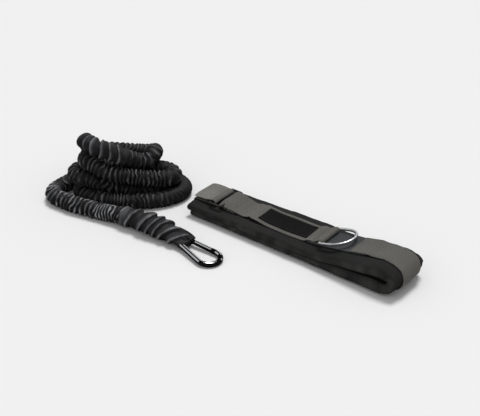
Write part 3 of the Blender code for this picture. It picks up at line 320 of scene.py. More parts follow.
# The D-ring's nickel is satin, so that it reads as pale silver from every side
satinNickel = smoothFinish("satinNickel", {
    "cloudScale": 80, "gritScale": 2000, "smooth": 0.38, "dull": 0.5,
    "dark": "#cdcfd2", "light": "#eceeef", "bump": 0.2, "metallic": 1})
# Pins, spring and ferrules: bare steel, greyer and duller than the plating
brushedSteel = smoothFinish("brushedSteel", {
    "cloudScale": 120, "gritScale": 2600, "smooth": 0.28, "dull": 0.42,
    "dark": "#8d8e90", "light": "#b0b1b3", "bump": 0.3, "metallic": 1})
# Coated wire of the closure ring: black enamel over steel, with a soft highlight
blackEnamel = smoothFinish("blackEnamel", {
    "cloudScale": 90, "gritScale": 2200, "smooth": 0.3, "dull": 0.45,
    "dark": "#191919", "light": "#262626", "bump": 0.2, "metallic": 0})
# The elastic inside the sleeve: dark brown latex rubber, dull
latexRubber = smoothFinish("latexRubber", {
    "cloudScale": 80, "gritScale": 900, "smooth": 0.5, "dull": 0.7,
    "dark": "#2f2b27", "light": "#3b3631", "bump": 0.4, "metallic": 0})
print("materials made")


# Cord. Its way is given in metres: a straight lead out of the hook's eye, a stretch on the floor,
# then the pile, whose loops are worked out from their four sides

setAt = np.array([0.0263623, 0.0384321, 0])
cordWay = {
    "hookAxis": (-0.0925, -0.1232, 0.009), "leadHeading": -41, "leadLength": 46 * mm, "leadRise": 4.6 * mm,
    "endLength": 32 * mm, "step": 4 * mm, "thickness": 28.4 * mm, "cuffThickness": 32.4 * mm,
    "nearCuffEnd": 118 * mm, "farCuffLength": 88 * mm, "gap": 0.9 * mm, "easyBend": 22 * mm,
    "floorHeight": 11.36 * mm, "rounds": 260, "points": 171}
leadRoute = [
    (-0.151, -0.079, 0.0158), (-0.175, -0.065, 0.0162), (-0.197, -0.052, 0.0150),
    (-0.228, -0.036, 0.0118), (-0.263, -0.019, 0.0114), (-0.295, -0.001, 0.0114)]
# The pile, clockwise from above: side of the loop, place, how square the corner after it is, and
# the height at that corner where the sleeve climbs over another loop
pileRoute = [
    ("left", -0.327, 0.031, 0.0114, 0.62, None), ("back", -0.215, 0.128, 0.0114, 0.66, None),
    ("right", -0.096, 0.050, 0.0114, 0.72, None), ("front", -0.180, 0.005, 0.0114, 0.74, None),
    ("left", -0.280, 0.052, 0.0114, 0.70, None), ("back", -0.212, 0.097, 0.0114, 0.66, None),
    ("right", -0.134, 0.062, 0.0114, 0.74, None), ("front", -0.200, 0.027, 0.0200, 0.72, 0.034),
    ("left", -0.293, 0.048, 0.0400, 0.74, 0.041), ("back", -0.218, 0.083, 0.0410, 0.72, 0.040),
    ("right", -0.110, 0.049, 0.0380, 0.72, None), ("front", -0.175, 0.024, 0.0450, 0.72, None),
    ("left", -0.270, 0.048, 0.0660, 0.70, 0.064), ("back", -0.208, 0.110, 0.0550, 0.66, 0.055),
    ("right", -0.142, 0.073, 0.0580, 0.60, 0.061), ("front", -0.205, 0.042, 0.0790, 0.76, None)]
pileEnd = [(-0.233, 0.041, 0.090), (-0.250, 0.041, 0.094), (-0.262, 0.048, 0.094), (-0.268, 0.067, 0.090)]


def pilePoints():
    # Each side of a loop, with a rounded corner before it
    points = []
    for k, (side, x, y, z, square, climb) in enumerate(pileRoute):
        if k:
            lastSide, lastX, lastY, lastZ, share, height = pileRoute[k - 1]
            alongX = share if lastSide in ("front", "back") else 1 - share
            middle = (lastZ + z) / 2 if height is None else height
            points.append((lastX + (x - lastX) * alongX, lastY + (y - lastY) * (1 - alongX), middle))
        points.append((x, y, z))
    return points


def throughUneven(points, step):
    # A curve like smoothLine's that stays round where the points are unevenly spaced
    p = np.array(points, float)
    p = np.vstack([2 * p[0] - p[1], p, 2 * p[-1] - p[-2]])
    fine = []
    for k in range(1, len(p) - 2):
        q = p[k - 1:k + 3]
        t = np.concatenate([[0], np.cumsum(np.linalg.norm(np.diff(q, axis=0), axis=1) ** 0.5)])
        now = np.linspace(t[1], t[2], 24, endpoint=False)[:, None]
        for reach in (1, 2):
            ends = [(t[j], t[j + reach]) for j in range(4 - reach)]
            q = [((late - now) * q[j] + (now - early) * q[j + 1]) / (late - early)
                 for j, (early, late) in enumerate(ends)]
        fine.append(((t[2] - now) * q[0] + (now - t[1]) * q[1]) / (t[2] - t[1]))
    fine = np.vstack(fine + [p[-2:-1]])
    total = lengthsOf(fine)[-1]
    return atLengths(fine, np.linspace(0, total, int(round(total / step)) + 1))


def settled(line, radii):
    # Loops that would press into each other are moved apart and bends under 22 mm are eased, while
    # the cord keeps its length and stays close to its route
    home, rounds = line.copy(), cordWay["rounds"]
    step = lengthsOf(line)[-1] / (len(line) - 1)
    reach, largestMove = 3, cordWay["thickness"] / 20
    sharp = (reach * step) ** 2 / cordWay["easyBend"] / 2
    i, j = np.triu_indices(len(line), int(math.ceil(2.6 * cordWay["thickness"] / step)))
    spacing = radii[i] + radii[j] + cordWay["gap"]
    held, ending = int(cordWay["leadLength"] / step) + 2, int(cordWay["endLength"] / step) + 1
    share = np.linspace(0, 1, ending)[:, None]
    for k in range(rounds):
        between = line[j] - line[i]
        size = np.linalg.norm(between, axis=1)
        hit = size < spacing
        push = between[hit] * ((spacing[hit] - size[hit]) / size[hit] * 0.18)[:, None]
        move = np.zeros_like(line)
        np.add.at(move, j[hit], push)
        np.add.at(move, i[hit], -push)
        line = line + move * (largestMove / np.maximum(np.linalg.norm(move, axis=1), largestMove))[:, None]
        bow = (line[:-2 * reach] + line[2 * reach:]) / 2 - line[reach:-reach]
        excess = np.clip(1 - sharp / np.maximum(np.linalg.norm(bow, axis=1), sharp), 0, 1)
        line[reach:-reach] += bow * (excess * 0.5)[:, None]
        line[1:-1] += 0.04 * (line[:-2] - 2 * line[1:-1] + line[2:])
        for again in range(2):
            stretch = line[1:] - line[:-1]
            size = np.linalg.norm(stretch, axis=1)
            fix = stretch * ((size - step) / size * 0.25)[:, None]
            line[:-1] += fix
            line[1:] -= fix
        if k < rounds * 0.8:
            line += (home - line) * 0.02
        line[:, 2] = np.maximum(line[:, 2], cordWay["floorHeight"])
        line[:held] = home[:held]
        line[-ending:] = line[-ending] * (1 - share) + line[-1] * share
    return line


def cordPath():
    axis = np.array(cordWay["hookAxis"])
    heading = math.radians(cordWay["leadHeading"])
    back = np.array([-math.cos(heading), -math.sin(heading), cordWay["leadRise"] / cordWay["leadLength"]])
    lead = axis + back * cordWay["leadLength"] * np.arange(13)[:, None] / 12
    rest = throughUneven([lead[-1]] + leadRoute + pilePoints() + pileEnd, cordWay["step"])
    line = np.vstack([lead[:-1], rest])
    total = lengthsOf(line)[-1]
    run = np.linspace(0, total, int(total / cordWay["step"]) + 1)
    onCuff = (run < cordWay["nearCuffEnd"]) | (run > total - cordWay["farCuffLength"])
    radii = np.where(onCuff, cordWay["cuffThickness"], cordWay["thickness"]) / 2
    line = settled(atLengths(line, run), radii) + setAt
    for count in (len(line), cordWay["points"]):
        line = atLengths(line, np.linspace(0, lengthsOf(line)[-1], count))
    return smoothLine(np.round(line, 4), 1.25 * mm)  # the points are placed to a tenth of a millimetre


cordLine = cordPath()
print("cord laid")


def skinAlong(name, line, wide, high, low, angle, push, material, uvRadius, marks):
    # A tube skin with its own half width, height above and depth below the line at each row
    ahead = headings(line)
    side = levelSides(ahead)
    up = np.cross(ahead, side)
    c, s = np.cos(angle), np.sin(angle)
    tall = np.where(s >= 0, high[:, None], low[:, None])
    across = (wide[:, None] * c - push * c)[:, :, None] * side[:, None, :]
    rise = (tall * s - push * s)[:, :, None] * up[:, None, :]
    grid = line[:, None, :] + across + rise
    grid[:, :, 2] = np.maximum(grid[:, :, 2], 0.2 * mm)  # flat on the floor, a hair above it
    run = np.broadcast_to(lengthsOf(line)[:, None], push.shape)
    around = np.broadcast_to(angle * uvRadius, push.shape)
    return gridMesh(name, grid, np.stack([run, around], axis=2), material, marks)


# Gathered sleeve: puckers every 8 mm or so, which wander, fork and fade round the sleeve. They are
# half as deep where the bottom loop turns at its right, as the cloth is stretched there
sleeve = {
    "start": 107, "end": 1790, "step": 1.2, "radius": 14.9, "depth": 4.7, "pitch": 8.2, "around": 60,
    "neck": 15, "neckDrawnIn": 2.6,
    "smoothAt": (0, 270, 330, 400, 540, 580, 660, 700, 1800), "smooth": (1, 1, 0.75, 1, 1, 0.5, 0.5, 1, 1),
    "crestHighlightAt": (0, 50, 330, 420, 1500, 1600, 1800), "crestHighlight": (0.95, 1.35, 1.3, 0.6, 0.55, 0.7, 0.75)}
sleeveRun = np.arange(sleeve["start"], sleeve["end"], sleeve["step"])
sleeveLine = atLengths(cordLine, sleeveRun * mm)
angle = np.linspace(0, 2 * math.pi, sleeve["around"], endpoint=False)
runAt, turnAt = np.meshgrid(sleeveRun, angle / (2 * math.pi), indexing="ij")
pitch = sleeve["pitch"] * (1 + 0.26 * cloudy(sleeveRun / 33, sleeveRun * 0, 3))
turns = np.cumsum(sleeve["step"] / pitch)[:, None]
turns = turns + 0.6 * cloudy(runAt / 22, turnAt * 6, 11, 6) + 0.26 * cloudy(runAt / 8, turnAt * 11, 12, 11)
phase = turns % 1
pucker = 1 - np.abs(2 * phase - 1) ** 2.1
calm = np.interp(sleeveRun, sleeve["smoothAt"], sleeve["smooth"])[:, None]
strength = np.clip(0.82 + 0.42 * cloudy(runAt / 13, turnAt * 6, 13, 6), 0.35, 1.15) * calm
crease = 1 - np.abs(2 * ((turns * 2.2 + 0.7 * cloudy(runAt / 14, turnAt * 7, 14, 7)) % 1) - 1) ** 2
slack = cloudy(runAt / 55, turnAt * 3, 15, 3)
push = (sleeve["depth"] * (1 - pucker) * strength + 0.5 * (1 - crease) - 0.5 * slack) * mm
neck = np.clip(1 - (np.minimum(runAt - sleeve["start"], sleeve["end"] - runAt)) / sleeve["neck"], 0, 1)
push += sleeve["neckDrawnIn"] * mm * neck
radius = np.full(len(sleeveRun), sleeve["radius"] * mm)
# Painted light: crest highlights are stronger along the lit lead and weaker on the shaded pile
paintedLightAlong = np.interp(sleeveRun, sleeve["crestHighlightAt"], sleeve["crestHighlight"])[:, None]
crestHighlight = 0.72 + 0.5 * cloudy(runAt / 12, turnAt * 7, 16, 7) + 0.6 * cloudy(runAt / 4.2, turnAt * 15, 17, 15)
crestHighlight = np.clip(crestHighlight, 0, 1.3) * paintedLightAlong
# Paler crests are a painted highlight with some wear; the darkening next to each crease is painted shade
marks = np.exp(-((phase - 0.45) / 0.14) ** 2) * crestHighlight * np.clip(strength, 0, 1)
marks -= np.clip(1 - pucker / 0.62, 0, 1) * np.clip(strength * 1.1, 0, 1)
gatheredSleeve = skinAlong(
    "gatheredSleeve", sleeveLine, radius, radius, radius, angle, push, gatheredNylon,
    sleeve["radius"] * mm, marks)
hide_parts("elastic_sleeve")
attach(gatheredSleeve, "cord")
print("sleeve made")


def cuffSkin(name, line, profile, look):
    # Wide pleats lean over: each rises slowly to its crest and drops sharply. The ends are turned in
    run = lengthsOf(line) / mm
    wide, high, low = (np.interp(run, profile[0], profile[k]) * mm for k in (1, 2, 3))
    angle = np.linspace(0, 2 * math.pi, look["around"], endpoint=False)
    runAt, turnAt = np.meshgrid(run, angle / (2 * math.pi), indexing="ij")
    seed = look["seed"]
    along = runAt + look["lean"] * np.cos(2 * math.pi * (turnAt - look["leanAt"]))
    along += look["wander"] * cloudy(runAt / 30, turnAt * 4, seed, 4)
    phase = (np.interp(along, look["crests"], np.arange(len(look["crests"]))) + 0.8) % 1
    fold = np.interp(phase, [0, 0.12, 0.5, 0.74, 0.84, 0.92, 1], [0.02, 0.22, 0.75, 1, 0.96, 0.3, 0.02])
    strength = np.clip(0.9 + 0.3 * cloudy(runAt / 21, turnAt * 5, seed + 1, 5), 0.5, 1.15)
    quiet = np.clip(np.minimum(runAt - look["quietStart"], look["quietEnd"] - runAt) / 8, 0.12, 1)
    fine = 0.45 * cloudy(runAt / 4.5, turnAt * 9, seed + 2, 9)
    fine += 0.7 * cloudy(runAt / 11, turnAt * 7, seed + 3, 7)
    push = (look["depth"] * (1 - fold) * strength * quiet - fine) * mm
    ragged = 0.75 + 0.3 * cloudy(runAt / 9, turnAt * 8, seed + 4, 8)
    ragged = np.clip(ragged + 0.35 * cloudy(runAt / 4, turnAt * 17, seed + 6, 17), 0.2, 1.1)
    # Crest marks are a painted highlight with some wear; the darkening at each crease is painted shade
    marks = np.interp(phase, [0.3, 0.56, 0.72, 0.79, 0.83, 0.88], [0, 0.14, 0.42, 1, 0.8, 0]) * ragged * quiet
    marks -= np.interp(phase, [0, 0.2, 0.55, 0.84, 0.9, 1], [1, 0.9, 0, 0, 1, 1]) * quiet
    # Painted highlights: the pale band at the mouth and the bright rims on the rolled crests
    band = np.exp(-((runAt - look["paleAt"]) / look["paleRun"]) ** 4)
    band *= 0.8 + 0.5 * cloudy(runAt / 6, turnAt * 6, seed + 5, 6)
    rims = sum(0.8 * np.exp(-((along - at) / 1.6) ** 2) for at in look["rims"]) * ragged
    marks = np.maximum(marks, look["paleBand"] * band + rims)
    return skinAlong(name, line, wide, high, low, angle, push, cuffNylon, 15 * mm, marks)


# The snap hook lies on the floor: x from its eye to its wide end, y towards the gate
hookHeading, hookDip = math.radians(-46.5), math.radians(3.185)
hookAhead = np.array([
    math.cos(hookDip) * math.cos(hookHeading), math.cos(hookDip) * math.sin(hookHeading), -math.sin(hookDip)])
hookSide = np.array([-math.sin(hookHeading), math.cos(hookHeading), 0])
hookUp = np.cross(hookAhead, hookSide)


def inHook(x, y=0, z=0):
    return setAt + cordWay["hookAxis"] + (hookAhead * x + hookSide * y + hookUp * z) * mm


# Near cuff: it covers the hook's eye, so its end bends with the hook. Its profile says how far along
# it is so wide to each side, so high above its line and so deep below it
alongCord = (127, 112, 96, 80, 64, 48, 34, 22, 11)
nearPoints = [atLengths(cordLine, [k * mm])[0] for k in alongCord] + [inHook(0), inHook(6), inHook(12)]
nearLine = smoothLine(nearPoints, 0.9 * mm)
nearRun = lengthsOf(nearLine)[-1] / mm
nearProfile = np.array([
    (0, 11.5, 11.5, 11.5), (0.9, 14.2, 14.2, 14.2), (3, 16.6, 16.6, 16.2), (7, 17.8, 17.8, 16.5),
    (16, 18.0, 18.2, 16.5), (30, 19.2, 19.4, 16.4), (50, 22.0, 20.8, 16.0), (72, 23.2, 20.0, 15.0),
    (92, 22.4, 17.2, 13.5), (110, 20.6, 13.6, 11.2), (127, 18.8, 10.6, 9.4),
    (nearRun - 3, 17.6, 8.0, 7.4), (nearRun - 0.9, 16.8, 6.8, 6.6), (nearRun, 14.6, 4.9, 4.9)]).T
nearCuff = cuffSkin("nearCuff", nearLine, nearProfile, {
    "around": 84, "lean": 9, "leanAt": 0.66, "crests": (-40, -4, 23, 50, 65, 81, 99, 118, 150, 190),
    "wander": 3.5, "seed": 31, "quietStart": 12, "quietEnd": nearRun + 4, "depth": 5.6, "paleBand": 0.3,
    "paleAt": 10, "paleRun": 8, "rims": (-3, 22)})
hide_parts("front_cuff")
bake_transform(nearCuff)

# Far cuff: on top of the pile at its left
farLine = atLengths(cordLine, np.arange(1773, 1864, 0.9) * mm)
farRun = lengthsOf(farLine)[-1] / mm
farProfile = np.array([
    (0, 11.5, 11.5, 11.5), (0.9, 14.0, 14.0, 14.0), (3, 16.0, 16.0, 16.0), (8, 16.9, 16.9, 16.6),
    (40, 16.6, 16.6, 16.2), (66, 16.6, 15.8, 15.2), (farRun - 3, 16.4, 14.2, 13.4),
    (farRun - 0.9, 15.6, 13.6, 12.9), (farRun, 13.8, 11.9, 11.3)]).T
farCuff = cuffSkin("farCuff", farLine, farProfile, {
    "around": 84, "lean": 2.5, "leanAt": 0.85, "crests": (-30, 4, 19, 34, 49, 62, 74, 85, 130), "wander": 3,
    "seed": 47, "quietStart": 3, "quietEnd": farRun - 3, "depth": 5.4, "paleBand": 0, "paleAt": 0,
    "paleRun": 5, "rims": ()})
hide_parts("rear_cuff")
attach(farCuff, "cord")
print("cuffs made")


# Straps. A strip's cross-section has rounded selvedges, in shares of half its width and thickness

topShares = [(w, 1) for w in (-0.95, -0.8, -0.5, -0.2, 0.2, 0.5, 0.8, 0.95)]
topShares = [(-0.985, 0.62)] + topShares + [(0.985, 0.62)]
strapSection = np.array([(-1, 0)] + topShares + [(1, 0)] + [(w, -t) for w, t in reversed(topShares)])


def strapSkin(name, line, sides, widths, thickness, material, place=None):
    line = np.array(line, float)
    sides = np.broadcast_to(np.array(sides, float), line.shape)
    up = np.cross(headings(line), sides)
    up /= np.linalg.norm(up, axis=1)[:, None]
    half = np.broadcast_to(np.array(widths, float), (len(line),)) / 2
    across = strapSection[None, :, 0, None] * (half[:, None, None] * sides[:, None, :])
    lift = strapSection[None, :, 1, None] * (thickness / 2 * up[:, None, :])
    grid = line[:, None, :] + across + lift
    run = np.broadcast_to(lengthsOf(line)[:, None], grid.shape[:2])
    v = strapSection[None, :, 0] * half[:, None]
    if place is not None:
        grid = place(grid)
    return gridMesh(name, grid, np.stack([run, v], axis=2), material)


def doubledBack(middle, gaps, turnSteps):
    # A strap's line out along one side of its middle line, round at the end, and back
    ahead = headings(middle)
    side = levelSides(ahead)
    up = np.cross(ahead, side)
    a = math.pi / 2 - math.pi * np.arange(1, turnSteps) / turnSteps
    tip = middle[-1] + (ahead[-1] * np.cos(a)[:, None] + up[-1] * np.sin(a)[:, None]) * gaps[-1]
    line = np.vstack([middle + up * gaps[:, None], tip, (middle - up * gaps[:, None])[::-1]])
    sides = np.vstack([side, np.repeat(side[-1:], turnSteps - 1, 0), side[::-1]])
    return line, sides


# Both straps are 25 mm webbing, gathered to 6.4 mm where the cord holds them, with a hair of air
# between their two layers
cordStrap = {
    "width": 25, "gathered": 6.4, "thickness": 1.8, "closedGap": 1.05, "eyeGap": 7.5, "handGap": 6,
    "tuck": 17, "widenOver": 22, "turnSteps": 9}


def addCordStrap(name, line, sides, widths, node):
    strap = strapSkin(name, line, sides, widths, cordStrap["thickness"] * mm, blackWebbing)
    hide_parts(node)
    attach(strap, "cord")
    return strap


# Strap round the hook's eye
eyeRun = np.linspace(0, 35, 19)
opening = np.clip((eyeRun - 9) / 17, 0, 1)
opening = np.sin(opening * math.pi / 2) ** 2
eyeGaps = cordStrap["closedGap"] + (cordStrap["eyeGap"] - cordStrap["closedGap"]) * opening
eyeMiddle = atLengths(cordLine, eyeRun[::-1] * mm)
eyeLine, eyeSides = doubledBack(eyeMiddle, eyeGaps * mm, cordStrap["turnSteps"])
eyeStrap = addCordStrap("eyeStrap", eyeLine, eyeSides, cordStrap["gathered"] * mm, "hook_strap")

# Hand strap: down the back of the pile to a loop on the floor
handRoute = np.array([
    (-0.274, 0.098, 0.0770), (-0.275, 0.121, 0.0590), (-0.273, 0.143, 0.0360), (-0.269, 0.160, 0.0140),
    (-0.266, 0.174, 0.0072), (-0.266, 0.185, 0.0072), (-0.266, 0.195, 0.0072)])
strapHead = atLengths(cordLine, [lengthsOf(cordLine)[-1] - cordStrap["tuck"] * mm])
handPoints = np.vstack([strapHead, cordLine[-1:], handRoute + setAt])
handMiddle = smoothLine(throughUneven(handPoints, 8 * mm), 2.5 * mm)
pastCuff = lengthsOf(handMiddle) / mm - cordStrap["tuck"]
handShare = np.clip(pastCuff / pastCuff[-1], 0, 1)
handGaps = cordStrap["closedGap"] + (cordStrap["handGap"] - cordStrap["closedGap"]) * handShare ** 2
widening = np.clip(pastCuff / cordStrap["widenOver"], 0, 1)
handWidth = cordStrap["gathered"] + (cordStrap["width"] - cordStrap["gathered"]) * widening
handLine, handSides = doubledBack(handMiddle, handGaps * mm, cordStrap["turnSteps"])
turnWidths = [cordStrap["width"]] * (cordStrap["turnSteps"] - 1)
handWidths = np.concatenate([handWidth, turnWidths, handWidth[::-1]]) * mm
handStrap = addCordStrap("handStrap", handLine, handSides, handWidths, "hand_strap")

# Sewn corner of the strap, at the gate side of the near cuff's end
tab = {"width": 12, "thickness": 2.4, "step": 1.6}
tabPoints = [(-20, 9, 8), (-12, 10, 8), (-4, 10.8, 7.6), (5, 11, 6.6), (12, 10.4, 5)]
tabLine = smoothLine([inHook(*point) for point in tabPoints], tab["step"] * mm)
strapTab = strapSkin("strapTab", tabLine, hookSide, tab["width"] * mm, tab["thickness"] * mm, blackWebbing)
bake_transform(strapTab)
print("cord and its straps made")


# Belt, in its own frame: x along it from its front left corner, y across it to the back

belt = {"corner": (-0.0677, -0.0423, 0), "heading": -38.6, "middle": 45}
beltCorner = setAt + belt["corner"]
beltHeading = math.radians(belt["heading"])
beltAlong = np.array([math.cos(beltHeading), math.sin(beltHeading), 0])
beltAcross = np.array([-math.sin(beltHeading), math.cos(beltHeading), 0])

# Creases that cross the webbing: where each crosses its middle, its slant, breadth and height
creaseList = (
    (74, 0.25, 3.2, 0.9), (84, -0.2, 2.4, 0.7), (93, 0.15, 2.6, 1.1), (262, 0.1, 5, 0.5),
    (345, -0.15, 6, 0.5))


def inBelt(points):
    # The upper layer isn't flat, so all that lies on it waves together, but stays still at the rings
    p = np.array(points, float)
    u, w, z = p[..., 0] / mm, p[..., 1] / mm, p[..., 2] / mm
    fromMiddle = w - belt["middle"]
    calm = np.interp(u, [-30, 48, 75, 190, 212, 290, 315, 400], [0.25, 0.1, 1, 1, 0.15, 0.2, 1, 1])
    upper = np.clip((z - 14) / 9, 0, 1)
    wave = 0.9 * cloudy(u / 52, w / 41, 71) + 0.45 * cloudy(u / 23, w / 27, 72)
    outer = np.clip((np.abs(fromMiddle) - 24) / 20, 0, 1)
    wave = wave * calm + outer * 2.1 * (cloudy(u / 40, w / 60, 73) + 0.2)
    creases = sum(
        high * np.exp(-((u - at - slant * fromMiddle) / broad) ** 2) for at, slant, broad, high in creaseList)
    backRise = 5.5 * np.exp(-((u - 165) / 62) ** 2) * np.clip((w - 28) / 55, 0, 1)
    droop = np.interp(u, [-4, 7, 14, 26, 46, 62], [4, 0, 0, 4.6, 4.6, 0]) * np.clip((33 - w) / 13, 0, 1)
    droop = droop * np.clip((z - 27) / 7, 0, 1)
    z = z + upper * (wave + backRise + creases * (1 - outer)) - droop
    flat = u[..., None] * beltAlong + w[..., None] * beltAcross
    return beltCorner + (flat + z[..., None] * np.array([0, 0, 1])) * mm


def roundOff(distance, size):
    # From 0 at an edge to 1 at the given distance from it, along a full curve
    return (1 - (1 - np.clip(distance / size, 0, 1)) ** 2.3) ** (1 / 2.3)


# Padding: the lower layer's middle lies 7.6 mm high, the upper one's 18.9 mm
liner = {
    "width": 90, "thickness": 11, "lower": 7.6, "upper": 18.9, "step": 2.6, "edgeRound": 5, "innerRound": 2.6,
    "endRound": 3.4, "seamAt": 9, "seamDepth": 0.3, "frontDrawnIn": 6.5, "backDrawnIn": 12, "drawnOver": 22,
    "forward": 2.5}
lower, upper = liner["lower"], liner["upper"]
linerRoute = [(x, lower) for x in (-22, 60, 169, 260, 345)] + [
    (361, 9.0), (373, 14.0), (379, 23.2), (378.5, 32.4), (370, 40.1), (356, 43.2), (340, 42.8), (321, 40.4),
    (305, 36.9), (285, 32.7), (261, 28.5), (232, 23.6), (205, 20.6), (180, 19.3)]
linerRoute += [(x, upper) for x in (150, 110, 75, 20, -28.6)]
linerLine = smoothLine(linerRoute, liner["step"])
linerRun = lengthsOf(linerLine)
fromTip = np.array([0, 0.3, 0.9, 1.8, 3, 4.5])
between = linerRun[(linerRun > 6) & (linerRun < linerRun[-1] - 6)]
linerRun = np.concatenate([fromTip, between, linerRun[-1] - fromTip[::-1]])
linerLine = atLengths(linerLine, linerRun)
linerAhead = headings(linerLine)
linerOut = np.stack([linerAhead[:, 1], -linerAhead[:, 0]], axis=1)
foldAt = int(np.argmax(linerLine[:, 0]))
linerLine[:foldAt, 1] = np.maximum(linerLine[:foldAt, 1], lower)
linerLine[foldAt:, 1] = np.maximum(linerLine[foldAt:, 1], upper)
linerX, linerZ = linerLine.T

# Its section runs over the outside from the front edge to the back one, and back over the inside
fromEdge = np.array([0, 0.25, 0.9, 2, 3.6, 5.4, 7.5, 7.9, 8.5, 9.1, 10.5, 14, 19, 25, 32, 39])
outside = np.concatenate([fromEdge, [belt["middle"]], liner["width"] - fromEdge[::-1]])
sectionW = np.concatenate([outside, outside[-2:0:-1]])
facing = np.where(np.arange(len(sectionW)) < len(outside), 1.0, -1.0)
near = np.minimum(sectionW, liner["width"] - sectionW)
swell = roundOff(near, np.where(facing > 0, liner["edgeRound"], liner["innerRound"]))
groove = liner["seamDepth"] * np.exp(-((near - liner["seamAt"]) / 1.6) ** 2)
fromEnd = np.minimum(linerRun, linerRun[-1] - linerRun)
ends = roundOff(fromEnd, liner["endRound"]) * 0.8 + 0.2

# Its edges are drawn in at the fold, and a little all along the upper layer
upperRun = np.clip((np.arange(len(linerRun)) - foldAt) / 6, 0, 1)
openShare = np.clip((linerZ - upper) / 22, 0, 1)
openShare[:foldAt] = 0.55 * np.clip((linerZ[:foldAt] - 12) / 16, 0, 1)
mostDrawnIn = np.where(sectionW > belt["middle"], liner["backDrawnIn"], liner["frontDrawnIn"])
drawnIn = mostDrawnIn * openShare[:, None]
drawnIn += (upperRun * (1.9 + 0.9 * np.clip(1 - linerX / 400, 0, 1)))[:, None]
drawnIn *= np.clip(1 - near / liner["drawnOver"], 0, 1) ** 1.4
runAt, acrossAt = np.meshgrid(linerRun, sectionW, indexing="ij")
lumps = 0.35 * cloudy(runAt / 17, acrossAt / 14, 81) + 0.22 * cloudy(runAt / 7, acrossAt / 8, 82)
lumps += np.exp(-((runAt - linerRun[foldAt]) / 60) ** 2) * 0.9 * cloudy(runAt / 9, acrossAt / 45, 83)
half = facing * (liner["thickness"] / 2 * swell * ends[:, None] - groove)
half = half + np.sign(half) * (lumps - 0.25) * np.clip(near / 3, 0, 1)

# Both layers swell into the fold's opening, the lower one more
openX, openGap = (205, 232, 261, 285, 305, 321, 340, 356, 372, 379), (1, 4, 10, 14, 18, 22, 24, 21, 14, 10)
foldFill = np.interp(linerX, openX, openGap)
foldFill = foldFill * np.interp(linerRun, linerRun[foldAt] + np.array([-25, 25]), [0.36, 0.22])
half = half - drawnIn - foldFill[:, None] * (facing < 0) * np.clip(near / 2, 0, 1)
forward = liner["forward"] * np.interp(linerRun, [230, 375, 400, 440], [0, 1, 0.8, 0])
towardsMiddle = np.where(acrossAt < belt["middle"], 1, -1) * (1 - np.clip(near / 6, 0, 1))
wavyEdge = 0.9 * towardsMiddle * cloudy(runAt / 31, acrossAt / 90, 84)
grid = np.stack([
    linerX[:, None] + linerOut[:, 0, None] * half,
    acrossAt + wavyEdge - forward[:, None] * np.clip(1 - acrossAt / 60, 0, 1),
    linerZ[:, None] + linerOut[:, 1, None] * half], axis=2)
grid[:, :, 2] = np.maximum(grid[:, :, 2], 0.4)  # flat on the floor, a hair above it
wornEdge = np.clip(1 - near / 5, 0, 1) * (0.6 + 0.4 * cloudy(runAt / 13, acrossAt / 9, 85))
padUv = np.stack([runAt, np.cumsum(np.abs(np.gradient(acrossAt, axis=1)), axis=1)], axis=2) * mm
beltPad = gridMesh("beltPad", inBelt(grid * mm), padUv, linerKnit, wornEdge)
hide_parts("belt_liner")
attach(beltPad, "belt")
print("padding made")


def layer(name, points, width, thickness, material, node, slot, body, step=1.6, roundedEnd=False):
    # One strip of the belt, from its middle line as (x, z) in millimetres
    flat = smoothLine(points, step)
    line = np.stack([flat[:, 0], np.full(len(flat), belt["middle"]), flat[:, 1]], axis=1) * mm
    if roundedEnd:
        width = width * np.interp(lengthsOf(flat), [0, 0.8, 2, 4, 7, 11], [0.74, 0.82, 0.89, 0.952, 0.988, 1])
    piece = strapSkin(name, line, (0, 1, 0), width * mm, thickness * mm, material, inBelt)
    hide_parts(node)
    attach(piece, body)


def bend(middle, radius, start, end, steps):
    turn = np.radians(np.linspace(start, end, steps))
    return [(middle[0] + radius * math.cos(a), middle[1] + radius * math.sin(a)) for a in turn]


webbing = {"width": 50, "thickness": 1.8, "lowest": 0.95, "endTurn": 4.5, "ringTurn": 3.7}
wide, thick, lowest = webbing["width"], webbing["thickness"], webbing["lowest"]

# Main webbing, from under the D-ring round the fold, below the padding and up to the closure ring
foldTop = [
    (288.25, 42.29), (294.26, 43.55), (302.2, 45.26), (310.1, 47.06), (318.5, 48.87), (327.2, 48.6),
    (335.6, 49.13), (344, 49.83), (352.8, 50.13), (361.8, 49.31), (371.4, 46.81)]
mainLine = foldTop + [
    (381.3, 40.26), (386.0, 28.37), (384.2, 17.12), (377.6, 8.6), (368.4, 3.6), (358, 1.5)]
mainLine += [(x, lowest) for x in (347, 338.5, 322, 240, 161, 80, 0, -25.3)]
mainLine += bend((-25.3, 5.4), webbing["endTurn"], 250, 190, 4) + [(-29.8, 9), (-29.8, 17)]
mainLine += bend((-25.3, 21.1), webbing["endTurn"], 170, 100, 4) + [
    (-20, 25.9), (-8, 26.6), (2, 27.4), (9, 28.0), (14.5, 28.6), (17.2, 30.4), (17.2, 32.6), (14.5, 34.3),
    (8.4, 34.6)]
layer("mainStrap", mainLine, wide, thick, greyWebbing, "main_webbing", "grey_webbing", "belt")

